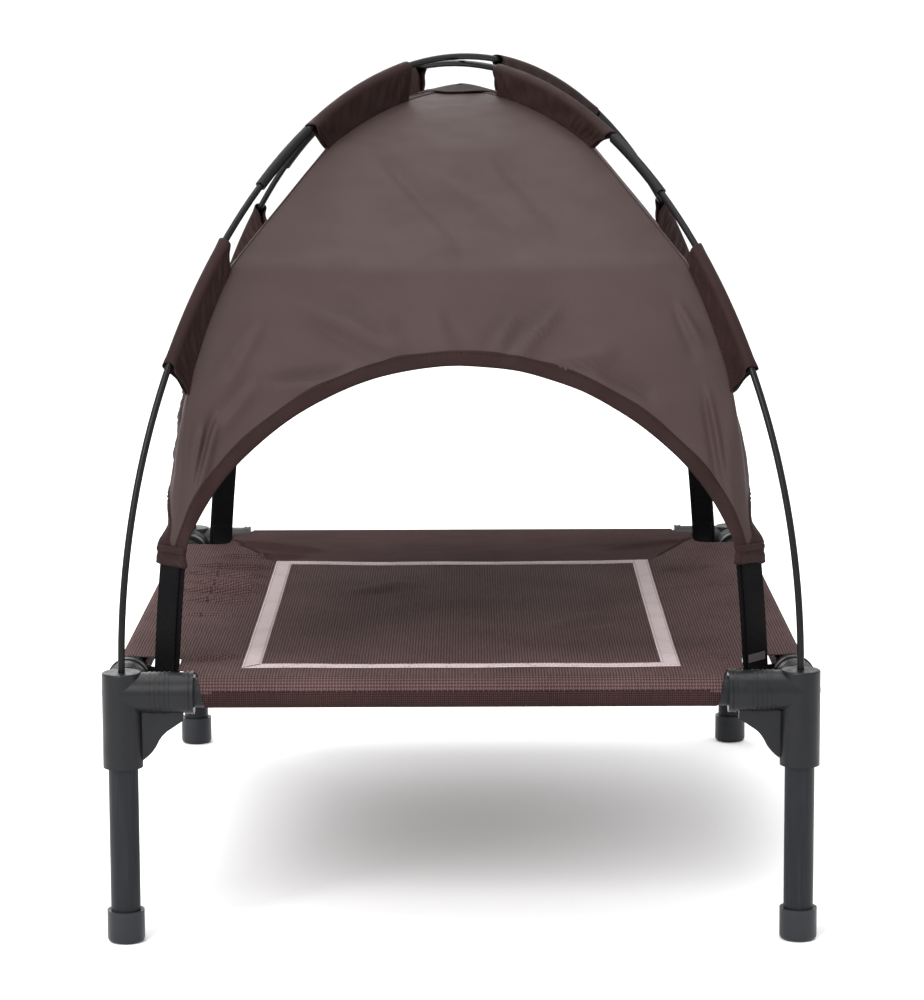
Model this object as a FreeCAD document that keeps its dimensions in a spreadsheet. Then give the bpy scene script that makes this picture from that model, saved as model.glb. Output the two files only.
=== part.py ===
import FreeCAD, Part
import math
import os
import re
import Sketcher

# Raised pet bed: a mesh deck slung on a tube frame, under a cloth canopy on two crossing bent poles.
# Millimetres. The origin is on the floor under the middle, X runs to the right, Y to the back, Z up.

SIZES = {
    # The whole bed
    "frame_width": 457,           # over the corner sockets
    "frame_length": 610,
    "bed_height": 176,
    "crown_height": 556.5,        # middle of the upper pole at its highest point
    # Moulded corner joints
    "socket_od": 25.5,
    "socket_bottom": 114.5,
    "socket_edge": 1.2,           # rounding of the socket's top edge
    "arm_wall": 3.35,
    "arm_length": 46,             # from the middle of the leg
    "arm_drop": 0.4,              # the arms' tops lie this far under the socket's top
    "collar_rise": 0.75,
    "collar_width": 5,
    "collar_groove": 0.9,
    "rib_first": 17,
    "rib_pitch": 3,
    "rib_width": 1.6,
    "rib_rise": 0.4,
    "gusset_thickness": 4,
    "gusset_end": 39,             # from the middle of the leg
    "gusset_tip_drop": 18,        # heights of the gusset's edge are measured down from the arms' middle
    "gusset_cove_reach": 28.5,
    "gusset_cove_drop": 25.1,
    "gusset_turn_reach": 22.2,
    "gusset_turn_drop": 33.4,
    "gusset_foot_reach": 12,
    "gusset_foot_drop": 44.2,
    "gusset_cove_radius": 21.5,
    "gusset_bulge_radius": 27,
    # Tubes and foot caps
    "tube_od": 19,
    "tube_wall": 1.2,
    "push_fit_gap": 0.15,
    "end_gap": 0.2,
    "leg_top": 145,
    "rail_inset": 14,             # from the middle of the leg to the rail's hidden end
    "cap_wall": 2.35,
    "cap_height": 21,
    "cap_floor": 4,
    "cap_edge": 3,
    # Canopy poles
    "pole_od": 4.5,
    "pole_plug": 26,              # depth in the corner joint
    "pole_play": 0.25,
    "pole_crossing_gap": 0.3,
    "pole_top_turn": 30,          # degrees from upright where the flatter top arc meets the side arc
    "ferrule_turn": 34.5,
    "ferrule_od": 7,
    "ferrule_length": 60,
    "ferrule_play": 0.1,
    "pole_butt_gap": 0.4,
    # Canopy cloth, measured in the upright plane through two opposite corners
    "cloth": 1.2,
    "cloth_crown": 533,
    "tip_inset": 44.26,           # from the middle of the leg in to the cloth's corner
    "tip_height": 249,
    "crease_inset": 69,           # from the cloth's corner in to the crease
    "crease_height": 427,
    "lower_cloth_radius": 300,
    "seam_gap": 0.3,
    # Arched openings of the canopy and their bindings
    "arch_crown": 366,
    "arch_inset": 4,              # from the seam to the widest line of the opening
    "front_arch_foot": 199.1,     # height of that widest line
    "front_shoulder_radius": 152.5,
    "side_arch_foot": 212.1,
    "side_shoulder_radius": 109.3,
    "binding_width": 9,
    "binding_rise": 0.7,
    "binding_gap": 0.1,
    # Pole sleeves on the canopy's seams
    "sleeve_play": 0.3,
    "sleeve_wall": 0.9,
    "fin_thickness": 1.4,
    "fin_gap": 0.2,
    "top_sleeve_reach_in": 45,
    "top_sleeve_reach_out": 150,
    "top_sleeve_turn_in": 7.6,
    "top_sleeve_turn_out": 29.3,
    "side_sleeve_height_in": 424,
    "side_sleeve_height_out": 348,
    "side_sleeve_turn_in": 46.5,
    "side_sleeve_turn_out": 60.4,
    "crown_patch_od": 60,
    # Corner hems and straps
    "hem_width": 24,
    "hem_depth": 4,
    "hem_height": 11,
    "hem_inset": 5.5,             # from the cloth's corner in to the hem's middle
    "hem_corner": 1.5,
    "strap_width": 20,
    "strap_thickness": 1.6,
    "strap_drop": 4.6,            # heights of the strap's foot and the tab from the rails' middle
    "strap_lean": 8.4,
    "strap_gap": 0.3,
    "loop_play": 0.3,
    "loop_offset": 12,            # from the arm's end to the middle of the loop
    "tab_shoulder": 16,
    "tab_inner": 1,
    "tab_drop": 7.6,
    "tab_link_rise": 5.4,
    "tab_rise": 23.4,
    # Mesh deck
    "deck_cloth": 1.2,
    "deck_sleeve_end": 51.5,      # from the middle of the leg, along the front and rear rails
    "deck_side_end": 72,          # from the middle of the leg, along the side rails
    "deck_end_gap": 0.4,
    "notch_front_inset": 39.5,
    "notch_inset": 33.5,
    "notch_depth": 56,
    "notch_radius": 17,
    "deck_seam_gap": 0.1,
    "tape_side_inset": 74.55,     # from the rails' middle in to the tape's outer edge
    "tape_front_inset": 25.75,
    "tape_rear_inset": 143.75,
    "tape_width": 12,
    "tape_thickness": 0.5,
}

# Lengths that follow from the sizes. Turns are in degrees.
LAYOUT = {
    "leg_across": "(frame_width - socket_od) / 2",
    "leg_along": "(frame_length - socket_od) / 2",
    "half_diagonal": "sqrt(leg_across^2 + leg_along^2)",
    "diagonal_turn": "atan2(leg_along; leg_across) / 1deg",
    "push_bore": "tube_od + 2 * push_fit_gap",
    "arm_od": "push_bore + 2 * arm_wall",
    "collar_od": "arm_od + 2 * collar_rise",
    "cap_od": "push_bore + 2 * cap_wall",
    "rail_height": "bed_height - arm_drop - arm_od / 2",
    "hole_bottom": "bed_height - pole_plug",
    "turn_sine": "sin(pole_top_turn)",
    "turn_cosine": "cos(pole_top_turn)",
    "turn_share": "turn_sine + turn_cosine - 1",
    "high_rise": "crown_height - bed_height",
    "low_rise": "high_rise - pole_od - pole_crossing_gap",
    "high_top_radius": "(half_diagonal * turn_cosine - high_rise * (1 - turn_sine)) / turn_share",
    "high_side_radius": "(high_rise * turn_sine - half_diagonal * (1 - turn_cosine)) / turn_share",
    "low_top_radius": "(half_diagonal * turn_cosine - low_rise * (1 - turn_sine)) / turn_share",
    "low_side_radius": "(low_rise * turn_sine - half_diagonal * (1 - turn_cosine)) / turn_share",
    "sleeve_bore": "pole_od + 2 * sleeve_play",
    "sleeve_od": "sleeve_bore + 2 * sleeve_wall",
    "tip_reach": "half_diagonal - tip_inset",
    "crease_reach": "tip_reach - crease_inset",
    "cloth_drop": "cloth_crown - crease_height",
    "upper_cloth_radius": "(crease_reach^2 + cloth_drop^2) / (2 * cloth_drop)",
    "upper_cloth_middle": "cloth_crown - upper_cloth_radius",
    "crease_turn": "asin(crease_reach / upper_cloth_radius) / 1deg",
    "tip_across": "tip_reach - crease_reach",
    "tip_down": "crease_height - tip_height",
    "tip_chord": "sqrt(tip_across^2 + tip_down^2)",
    "tip_sink": "sqrt(lower_cloth_radius^2 - tip_chord^2 / 4) / tip_chord",
    "lower_cloth_reach": "crease_reach + tip_across / 2 - tip_down * tip_sink",
    "lower_cloth_middle": "crease_height - tip_down / 2 - tip_across * tip_sink",
    "front_arch_step": "tip_reach * cos(diagonal_turn) - arch_inset - front_shoulder_radius",
    "front_arch_drop": "arch_crown - front_arch_foot",
    "front_arch_radius": "(front_arch_step^2 + front_arch_drop^2 - front_shoulder_radius^2)"
                         " / (2 * (front_arch_drop - front_shoulder_radius))",
    "front_arch_turn": "asin(front_arch_step / (front_arch_radius - front_shoulder_radius)) / 1deg",
    "side_arch_step": "tip_reach * sin(diagonal_turn) - arch_inset - side_shoulder_radius",
    "side_arch_drop": "arch_crown - side_arch_foot",
    "side_arch_radius": "(side_arch_step^2 + side_arch_drop^2 - side_shoulder_radius^2)"
                        " / (2 * (side_arch_drop - side_shoulder_radius))",
    "side_arch_turn": "asin(side_arch_step / (side_arch_radius - side_shoulder_radius)) / 1deg",
    "hem_reach": "tip_reach - hem_inset",
    "strap_reach": "hem_reach - hem_depth / 2 - strap_gap - strap_thickness / 2",
    "strap_top": "tip_height - 2 * end_gap",
    "strap_bottom": "rail_height - strap_drop",
    "loop_bore": "tube_od + 2 * loop_play",
    "loop_od": "loop_bore + 2 * strap_thickness",
    "tab_reach": "strap_reach - strap_thickness - strap_gap",
    "tab_bottom": "rail_height - tab_drop",
    "tab_link_top": "rail_height + tab_link_rise",
    "tab_top": "rail_height + tab_rise",
    "tab_near_rail": "leg_across - loop_od / 2 + strap_thickness / 2",
    "tab_side": "(tab_near_rail - tab_reach * cos(diagonal_turn)) / sin(diagonal_turn)",
    "deck_sleeve_bore": "tube_od + 2 * push_fit_gap",
    "deck_sleeve_od": "deck_sleeve_bore + 2 * deck_cloth",
    "deck_bottom": "rail_height + deck_sleeve_bore / 2",
    "tape_half_width": "leg_across - tape_side_inset",
    "tape_front": "leg_along - tape_front_inset",
    "tape_rear": "leg_along - tape_rear_inset",
    "panel_half_width": "tape_half_width - tape_width / 2",
    "panel_front": "tape_front - tape_width / 2",
    "panel_rear": "tape_rear - tape_width / 2",
}

# Each corner: its side across and along, the quarter turn of its joint, and which pole stands in it.
CORNERS = {
    "front_left": (-1, -1, 0, "high"),
    "front_right": (1, -1, 90, "low"),
    "rear_right": (1, 1, 180, "high"),
    "rear_left": (-1, 1, 270, "low"),
}
RIBS_PER_ARM = 5
ALONG_X = FreeCAD.Vector(1, 0, 0)
ALONG_Y = FreeCAD.Vector(0, 1, 0)

doc = FreeCAD.newDocument("PetBed")
sizes = doc.addObject("Spreadsheet::Sheet", "sizes")
layout = doc.addObject("App::VarSet", "layout")
made = {}


# ---------------------------------------------------------------- sizes and placing

def full(text):
    """Point each size named in a formula at the table or the layout that holds it."""
    def owner(match):
        word = match.group(0)
        if word in SIZES:
            return "sizes." + word
        if word in LAYOUT:
            return "layout." + word
        return word
    return re.sub(r"[a-z_]+[a-z]", owner, text)


def bind(thing, field, text):
    thing.setExpression(field, full(text))


def value(text):
    result = sizes.evalExpression(full(text))
    return float(getattr(result, "Value", result))


def place(thing, across="0", along="0", up="0", turn="0", pitch="0", roll="0"):
    """Roll about X, then pitch about Y, then turn about Z, then move."""
    bind(thing, "Placement",
         f"placement(vector({across}; {along}; {up}); rotation({turn}; {pitch}; {roll}))")


def fill_tables():
    for row, (word, number) in enumerate(SIZES.items(), 1):
        sizes.set(f"A{row}", str(number))
        sizes.setAlias(f"A{row}", word)
    doc.recompute()
    for word, formula in LAYOUT.items():
        layout.addProperty("App::PropertyFloat", word)
        bind(layout, word, formula)
        doc.recompute()


def corner_turn(corner):
    """Direction from the middle of the bed to a corner."""
    across, along, _, _ = CORNERS[corner]
    start = 0 if across > 0 else 180
    return f"({start} + {across * along} * diagonal_turn)"


def piece(node, solid, **where):
    """Name a finished sub-part."""
    solid.Label = node
    if where:
        place(solid, **where)
    made[node] = solid


# ---------------------------------------------------------------- shapes

def outline(name, runs, **where):
    """Closed outline. A run is its start (across, up), plus a radius and a side where it is round:
    +1 curves to the left on the way to the next start, -1 to the right."""
    sketch = doc.addObject("Sketcher::SketchObject", name)
    starts = [FreeCAD.Vector(value(run[0]), value(run[1]), 0) for run in runs]
    ends = []
    for index, run in enumerate(runs):
        here = starts[index]
        there = starts[(index + 1) % len(runs)]
        if len(run) == 2:
            sketch.addGeometry(Part.LineSegment(here, there), False)
            ends.append((1, 2))
            continue
        radius = value(run[2])
        side = run[3]
        chord = there - here
        to_middle = FreeCAD.Vector(-chord.y, chord.x, 0).normalize() * side
        middle = (here + there) * 0.5 + to_middle * math.sqrt(radius ** 2 - chord.Length ** 2 / 4)
        first, last = (here, there) if side > 0 else (there, here)
        angles = [math.atan2(spot.y - middle.y, spot.x - middle.x) for spot in (first, last)]
        circle = Part.Circle(middle, FreeCAD.Vector(0, 0, 1), radius)
        sketch.addGeometry(Part.ArcOfCircle(circle, *angles), False)
        ends.append((1, 2) if side > 0 else (2, 1))
    rules = []
    formulas = []
    for index, run in enumerate(runs):
        after = (index + 1) % len(runs)
        rules.append(Sketcher.Constraint("Coincident", index, ends[index][1], after, ends[after][0]))
        formulas.append(None)
        rules.append(Sketcher.Constraint("DistanceX", index, ends[index][0], starts[index].x))
        formulas.append(run[0])
        rules.append(Sketcher.Constraint("DistanceY", index, ends[index][0], starts[index].y))
        formulas.append(run[1])
        if len(run) > 2:
            rules.append(Sketcher.Constraint("Radius", index, value(run[2])))
            formulas.append(run[2])
    sketch.addConstraint(rules)
    for number, formula in enumerate(formulas):
        if formula:
            bind(sketch, f"Constraints[{number}]", formula)
    if where:
        place(sketch, **where)
    return sketch


def extrude(name, sketch, length, direction=None, both_ways=False):
    solid = doc.addObject("Part::Extrusion", name)
    solid.Base = sketch
    solid.Solid = True
    solid.DirMode = "Normal"
    if direction:
        solid.DirMode = "Custom"
        solid.Dir = direction
    solid.Symmetric = both_ways
    bind(solid, "LengthFwd", length)
    return solid


def lathe(name, runs, **where):
    """Turn an outline of (radius, height) once round, then place it."""
    solid = doc.addObject("Part::Revolution", name)
    solid.Source = outline(name + "_outline", runs, roll="90")
    solid.Axis = FreeCAD.Vector(0, 0, 1)
    solid.Angle = 360
    solid.Solid = True
    place(solid, **where)
    return solid


def rod(name, diameter, length, **where):
    solid = doc.addObject("Part::Cylinder", name)
    bind(solid, "Radius", f"({diameter}) / 2")
    bind(solid, "Height", length)
    place(solid, **where)
    return solid


def bow(name, diameter, radius, start, sweep, across="0", up="0"):
    """Round bar bent to an arc in its own flat frame; start and sweep in degrees."""
    solid = doc.addObject("Part::Torus", name)
    bind(solid, "Radius1", radius)
    bind(solid, "Radius2", f"({diameter}) / 2")
    bind(solid, "Angle3", sweep)
    place(solid, across=across, along=up, turn=start)
    return solid


def fuse(name, solids):
    joined = doc.addObject("Part::MultiFuse", name)
    joined.Shapes = solids
    joined.Refine = True
    return joined


def overlap(name, solids):
    shared = doc.addObject("Part::MultiCommon", name)
    shared.Shapes = solids
    return shared


def cut(name, base, tool):
    left = doc.addObject("Part::Cut", name)
    left.Base = base
    left.Tool = tool
    return left


def tube(name, outer, inner, length, **where):
    wall = rod(name + "_wall", outer, length, **where)
    hole = rod(name + "_hole", inner, length, **where)
    return cut(name, wall, hole)


# ---------------------------------------------------------------- frame

def joint_arm(name, **where):
    """Arm of a corner joint with its grip ribs, groove and end collar, turned about its own axis."""
    plain = "arm_od / 2"
    collar = "collar_od / 2"
    runs = [("0", "0"), (plain, "0")]
    for rib in range(RIBS_PER_ARM):
        near = f"rib_first + {rib} * rib_pitch"
        far = f"{near} + rib_width"
        runs += [(plain, near), (f"{plain} + rib_rise", near), (f"{plain} + rib_rise", far), (plain, far)]
    near = "arm_length - collar_width"
    groove_near = "arm_length - 0.6 * collar_width"
    groove_far = f"{groove_near} + collar_groove"
    runs += [
        (plain, near), (collar, near),
        (collar, groove_near), (plain, groove_near), (plain, groove_far), (collar, groove_far),
        (collar, "arm_length"), ("0", "arm_length"),
    ]
    return lathe(name, runs, up="rail_height", **where)


def joint_gusset(name, turn):
    """Thin web under an arm, with a cove and a bulge along its free edge."""
    inside = "socket_od / 4"
    buried = "rail_height - arm_od / 2 + rib_rise"
    runs = [
        (inside, buried),
        (inside, "rail_height - gusset_foot_drop"),
        ("gusset_foot_reach", "rail_height - gusset_foot_drop", "gusset_bulge_radius", 1),
        ("gusset_turn_reach", "rail_height - gusset_turn_drop", "gusset_cove_radius", -1),
        ("gusset_cove_reach", "rail_height - gusset_cove_drop"),
        ("gusset_end", "rail_height - gusset_tip_drop"),
        ("gusset_end", buried),
    ]
    web = outline(name + "_outline", runs, turn=turn, roll="90")
    return extrude(name, web, "gusset_thickness", both_ways=True)


def corner_joint(corner):
    across, along, turn, _ = CORNERS[corner]
    name = "joint_" + corner
    rim = "socket_od / 2"
    socket = lathe(name + "_socket", [
        ("0", "socket_bottom"),
        (rim, "socket_bottom"),
        (rim, "bed_height - socket_edge", "socket_edge", 1),
        (f"{rim} - socket_edge", "bed_height"),
        ("0", "bed_height"),
    ])
    body = fuse(name + "_body", [
        socket,
        joint_arm(name + "_arm_a", pitch="90"),
        joint_arm(name + "_arm_b", roll="-90"),
        joint_gusset(name + "_gusset_a", "0"),
        joint_gusset(name + "_gusset_b", "90"),
    ])
    start = "rail_inset - end_gap"
    depth = f"arm_length - ({start})"
    bores = fuse(name + "_bores", [
        rod(name + "_leg_bore", "push_bore", "leg_top + end_gap - socket_bottom", up="socket_bottom"),
        rod(name + "_bore_a", "push_bore", depth, across=start, up="rail_height", pitch="90"),
        rod(name + "_bore_b", "push_bore", depth, along=start, up="rail_height", roll="-90"),
        rod(name + "_pole_hole", "pole_od + 2 * pole_play", "pole_plug", up="hole_bottom"),
    ])
    piece(name, cut(name, body, bores),
          across=f"{across} * leg_across", along=f"{along} * leg_along", turn=str(turn))


def leg(corner):
    across, along, _, _ = CORNERS[corner]
    where = dict(across=f"{across} * leg_across", along=f"{along} * leg_along", up="cap_floor")
    piece("leg_" + corner, tube("leg_" + corner, "tube_od", "tube_od - 2 * tube_wall",
                                "leg_top - cap_floor", **where))


def foot_cap(corner):
    across, along, _, _ = CORNERS[corner]
    rim = "cap_od / 2"
    bore = "push_bore / 2"
    cap = lathe("foot_cap_" + corner, [
        ("0", "0"),
        (f"{rim} - cap_edge", "0", "cap_edge", 1),
        (rim, "cap_edge"),
        (rim, "cap_height"),
        (bore, "cap_height"),
        (bore, "cap_floor"),
        ("0", "cap_floor"),
    ])
    piece("foot_cap_" + corner, cap, across=f"{across} * leg_across", along=f"{along} * leg_along")


def rails():
    inner = "tube_od - 2 * tube_wall"
    for name, side in (("front", -1), ("rear", 1)):
        node = "rail_" + name
        piece(node, tube(node, "tube_od", inner, "2 * (leg_across - rail_inset)",
                         across="rail_inset - leg_across", along=f"{side} * leg_along",
                         up="rail_height", pitch="90"))
    for name, side in (("left", -1), ("right", 1)):
        node = "rail_" + name
        piece(node, tube(node, "tube_od", inner, "2 * (leg_along - rail_inset)",
                         across=f"{side} * leg_across", along="rail_inset - leg_along",
                         up="rail_height", roll="-90"))


# ---------------------------------------------------------------- deck

def deck_sleeve_across(name, side):
    length = "2 * (leg_across - deck_sleeve_end)"
    return tube(name, "deck_sleeve_od", "deck_sleeve_bore", length, across="deck_sleeve_end - leg_across",
                along=f"{side} * leg_along", up="rail_height", pitch="90")


def deck_plate(name, runs):
    return extrude(name, outline(name + "_outline", runs, up="deck_bottom"), "deck_cloth")


def deck_front():
    edge = "panel_front + deck_seam_gap"
    wide = "leg_across - notch_front_inset"
    reach = "leg_across - arm_length - deck_end_gap"
    collar = "leg_along - collar_od / 2 - deck_end_gap"
    plate = deck_plate("deck_front_plate", [
        (f"-({reach})", "-leg_along"), (reach, "-leg_along"), (reach, f"-({collar})"),
        (wide, f"-({edge})"), (f"-({wide})", f"-({edge})"), (f"-({reach})", f"-({collar})"),
    ])
    piece("deck_front", fuse("deck_front", [plate, deck_sleeve_across("deck_front_sleeve", -1)]))


def deck_rear():
    """Rear band: it runs forward between the side borders to the tape."""
    edge = "panel_front + deck_seam_gap"
    wide = "leg_across - notch_front_inset"
    reach = "leg_across - arm_length - deck_end_gap"
    collar = "leg_along - collar_od / 2 - deck_end_gap"
    near = "panel_rear + deck_seam_gap"
    tongue = "panel_half_width - deck_seam_gap"
    plate = deck_plate("deck_rear_plate", [
        (f"-({reach})", "leg_along"), (f"-({reach})", collar), (f"-({wide})", edge),
        (f"-({tongue})", edge), (f"-({tongue})", near), (tongue, near), (tongue, edge),
        (wide, edge), (reach, collar), (reach, "leg_along"),
    ])
    piece("deck_rear", fuse("deck_rear", [plate, deck_sleeve_across("deck_rear_sleeve", 1)]))


def deck_side(name, side):
    """Side border with its sleeve, notched round both corner joints."""
    node = "deck_" + name
    far = f"{side} * (leg_across - notch_front_inset)"
    notch = f"{side} * (leg_across - notch_inset)"
    bend = f"{side} * (leg_across - notch_inset + notch_radius)"
    rail = f"{side} * leg_across"
    deep = "(leg_along - notch_depth)"
    stop = "(leg_along - deck_side_end)"
    near = f"{side} * panel_half_width"
    plate = deck_plate(node + "_plate", [
        (near, "-panel_front"), (far, "-panel_front"),
        (notch, f"-{deep}", "notch_radius", -side), (bend, f"-{stop}"),
        (rail, f"-{stop}"), (rail, stop),
        (bend, stop, "notch_radius", -side), (notch, deep),
        (far, "panel_front"), (near, "panel_front"),
    ])
    sleeve = tube(node + "_sleeve", "deck_sleeve_od", "deck_sleeve_bore", f"2 * {stop}",
                  across=rail, along=f"-{stop}", up="rail_height", roll="-90")
    piece(node, fuse(node, [plate, sleeve]))


def deck_panel():
    wide = "panel_half_width - deck_seam_gap"
    plate = deck_plate("deck_panel", [
        (f"-({wide})", "-panel_front"), (wide, "-panel_front"),
        (wide, "panel_rear"), (f"-({wide})", "panel_rear"),
    ])
    piece("deck_panel", plate)


def rectangle(half_width, front, rear):
    return [(f"-({half_width})", f"-({front})"), (half_width, f"-({front})"),
            (half_width, rear), (f"-({half_width})", rear)]


def deck_tape():
    up = "deck_bottom + deck_cloth + deck_seam_gap"
    outer = outline("tape_outer_outline", rectangle("tape_half_width", "tape_front", "tape_rear"), up=up)
    inner = outline("tape_inner_outline", rectangle(
        "tape_half_width - tape_width", "tape_front - tape_width", "tape_rear - tape_width"), up=up)
    piece("deck_tape", cut("deck_tape", extrude("tape_outer", outer, "tape_thickness"),
                           extrude("tape_inner", inner, "tape_thickness")))


# ---------------------------------------------------------------- poles

def pole(kind, front, rear):
    """One bent pole in three sections, with a ferrule over each joint."""
    top = kind + "_top_radius"
    side = kind + "_side_radius"
    side_reach = f"half_diagonal - {side}"
    top_middle = f"bed_height + {kind}_rise - {top}"
    butt = f"pole_butt_gap / 2 / {side} * 180 / pi"
    middle = fuse(f"pole_{kind}_middle", [
        bow(f"pole_{kind}_crest", "pole_od", top, "90 - pole_top_turn", "2 * pole_top_turn", up=top_middle),
        bow(f"pole_{kind}_bend_a", "pole_od", side, f"90 - ferrule_turn + {butt}",
            f"ferrule_turn - {butt} - pole_top_turn", across=side_reach, up="bed_height"),
        bow(f"pole_{kind}_bend_b", "pole_od", side, "90 + pole_top_turn",
            f"ferrule_turn - {butt} - pole_top_turn", across=f"-({side_reach})", up="bed_height"),
    ])
    piece(f"pole_{kind}_middle", middle, turn=corner_turn(front), roll="90")
    half = f"ferrule_length / 2 / {side} * 180 / pi"
    start = f"90 - ferrule_turn - {half}"
    for corner in (front, rear):
        plug = rod(f"pole_{corner}_plug", "pole_od", "pole_plug",
                   across="half_diagonal", along="hole_bottom", roll="-90")
        bend = bow(f"pole_{corner}_bend", "pole_od", side, "0", f"90 - ferrule_turn - {butt}",
                   across=side_reach, up="bed_height")
        piece("pole_" + corner, fuse("pole_" + corner, [plug, bend]), turn=corner_turn(corner), roll="90")
        node = "ferrule_" + corner
        shell = bow(node + "_wall", "ferrule_od", side, start, f"2 * {half}",
                    across=side_reach, up="bed_height")
        hole = bow(node + "_hole", "pole_od + 2 * ferrule_play", side, start, f"2 * {half}",
                   across=side_reach, up="bed_height")
        piece(node, cut(node, shell, hole), turn=corner_turn(corner), roll="90")


# ---------------------------------------------------------------- canopy

def canopy_strip(name, corner, direction, length, outward, inward):
    """Cloth drawn sideways from the seam line over a corner. outward and inward are how far its
    faces stand off the cloth's own outer face."""
    upper_out = f"upper_cloth_radius + {outward}"
    upper_in = f"upper_cloth_radius - {inward}"
    lower_out = f"lower_cloth_radius + {outward}"
    lower_in = f"lower_cloth_radius - {inward}"
    runs = [
        ("0", f"cloth_crown + {outward}", upper_out, -1),
        (f"crease_reach + {outward} * sin(crease_turn)", f"crease_height + {outward} * cos(crease_turn)",
         lower_out, -1),
        (f"tip_reach + {outward}", "tip_height"),
        (f"tip_reach - {inward}", "tip_height", lower_in, 1),
        (f"crease_reach - {inward} * sin(crease_turn)", f"crease_height - {inward} * cos(crease_turn)",
         upper_in, 1),
        ("0", f"cloth_crown - {inward}"),
    ]
    section = outline(name + "_section", runs, turn=corner_turn(corner), roll="90")
    return extrude(name, section, length, direction)


def canopy_quarter(name, across, along):
    """Upright wedge between the two seams of one canopy panel."""
    spread = 1.1
    if along:
        runs = [("0", f"{along} * seam_gap"),
                (f"{spread} * leg_across", f"{along} * ({spread} * leg_along + seam_gap)"),
                (f"-{spread} * leg_across", f"{along} * ({spread} * leg_along + seam_gap)")]
    else:
        runs = [(f"{across} * seam_gap", "0"),
                (f"{across} * ({spread} * leg_across + seam_gap)", f"{spread} * leg_along"),
                (f"{across} * ({spread} * leg_across + seam_gap)", f"-{spread} * leg_along")]
    return extrude(name, outline(name + "_outline", runs, up="bed_height"), "high_rise")


def arch(name, kind, outward, turn):
    """Prism through two facing panels, of the shape of their arched opening grown by outward."""
    main = f"({kind}_arch_radius + {outward})"
    small = f"({kind}_shoulder_radius + {outward})"
    middle = f"(arch_crown - {kind}_arch_radius)"
    step = f"({kind}_arch_radius - {kind}_shoulder_radius)"
    shoulder = f"{main} * sin({kind}_arch_turn)"
    shoulder_up = f"{middle} + {main} * cos({kind}_arch_turn)"
    foot = f"{step} * sin({kind}_arch_turn) + {small}"
    foot_up = f"{middle} + {step} * cos({kind}_arch_turn)"
    runs = [
        (foot, foot_up, small, 1),
        (shoulder, shoulder_up, main, 1),
        (f"-({shoulder})", shoulder_up, small, 1),
        (f"-({foot})", foot_up),
    ]
    return extrude(name, outline(name + "_outline", runs, turn=turn, roll="90"), "2 * frame_length",
                   both_ways=True)


def canopy_cloth():
    """Four panels, each with an arched opening edged by a folded binding."""
    arches = {}
    for kind, turn in (("front", "0"), ("side", "90")):
        arches[kind] = (
            arch(kind + "_arch", kind, "0", turn),
            arch(kind + "_arch_band", kind, "binding_width", turn),
            arch(kind + "_arch_trim", kind, "(binding_width + binding_gap)", turn),
        )
    panels = {
        "front": ("front_left", ALONG_X, "2 * leg_across", 0, -1, "front"),
        "rear": ("rear_left", ALONG_X, "2 * leg_across", 0, 1, "front"),
        "left": ("front_left", ALONG_Y, "2 * leg_along", -1, 0, "side"),
        "right": ("front_right", ALONG_Y, "2 * leg_along", 1, 0, "side"),
    }
    for name, (corner, direction, length, across, along, kind) in panels.items():
        opening, band, trim = arches[kind]
        wedge = canopy_quarter(name + "_quarter", across, along)
        cloth = canopy_strip(name + "_cloth", corner, direction, length, "0", "cloth")
        node = "canopy_" + name
        piece(node, cut(node, overlap(node + "_full", [cloth, wedge]), trim))
        tape = canopy_strip(name + "_tape", corner, direction, length,
                            "binding_rise", "(cloth + binding_rise)")
        node = "binding_" + name
        piece(node, cut(node, overlap(node + "_full", [tape, wedge, band]), opening))
    piece("crown_patch", rod("crown_patch", "crown_patch_od", "cloth", up="cloth_crown + fin_gap"))


def sleeve_ring(name, radius, across, middle, turn_in, turn_out):
    start = f"90 - {turn_out}"
    sweep = f"{turn_out} - {turn_in}"
    wall = bow(name + "_wall", "sleeve_od", radius, start, sweep, across=across, up=middle)
    hole = bow(name + "_hole", "sleeve_bore", radius, start, sweep, across=across, up=middle)
    return wall, hole


def sleeve(name, kind, radius, across, middle, turns, seam_in, seam_out, seam_radius):
    """Cloth tube round the pole, with a fin down to the seam it is sewn into."""
    turn_in, turn_out = turns
    edge = f"({radius} - sleeve_bore / 2)"
    fin_runs = [
        (seam_in[0], seam_in[1], seam_radius, -1),
        (seam_out[0], seam_out[1]),
        (f"{across} + {edge} * sin({turn_out})", f"{middle} + {edge} * cos({turn_out})", edge, 1),
        (f"{across} + {edge} * sin({turn_in})", f"{middle} + {edge} * cos({turn_in})"),
    ]
    fin = extrude(name + "_fin", outline(name + "_fin_outline", fin_runs), "fin_thickness", both_ways=True)
    wall, hole = sleeve_ring(name, radius, across, middle, turn_in, turn_out)
    return cut(name, fuse(name + "_body", [fin, wall]), hole)


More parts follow.
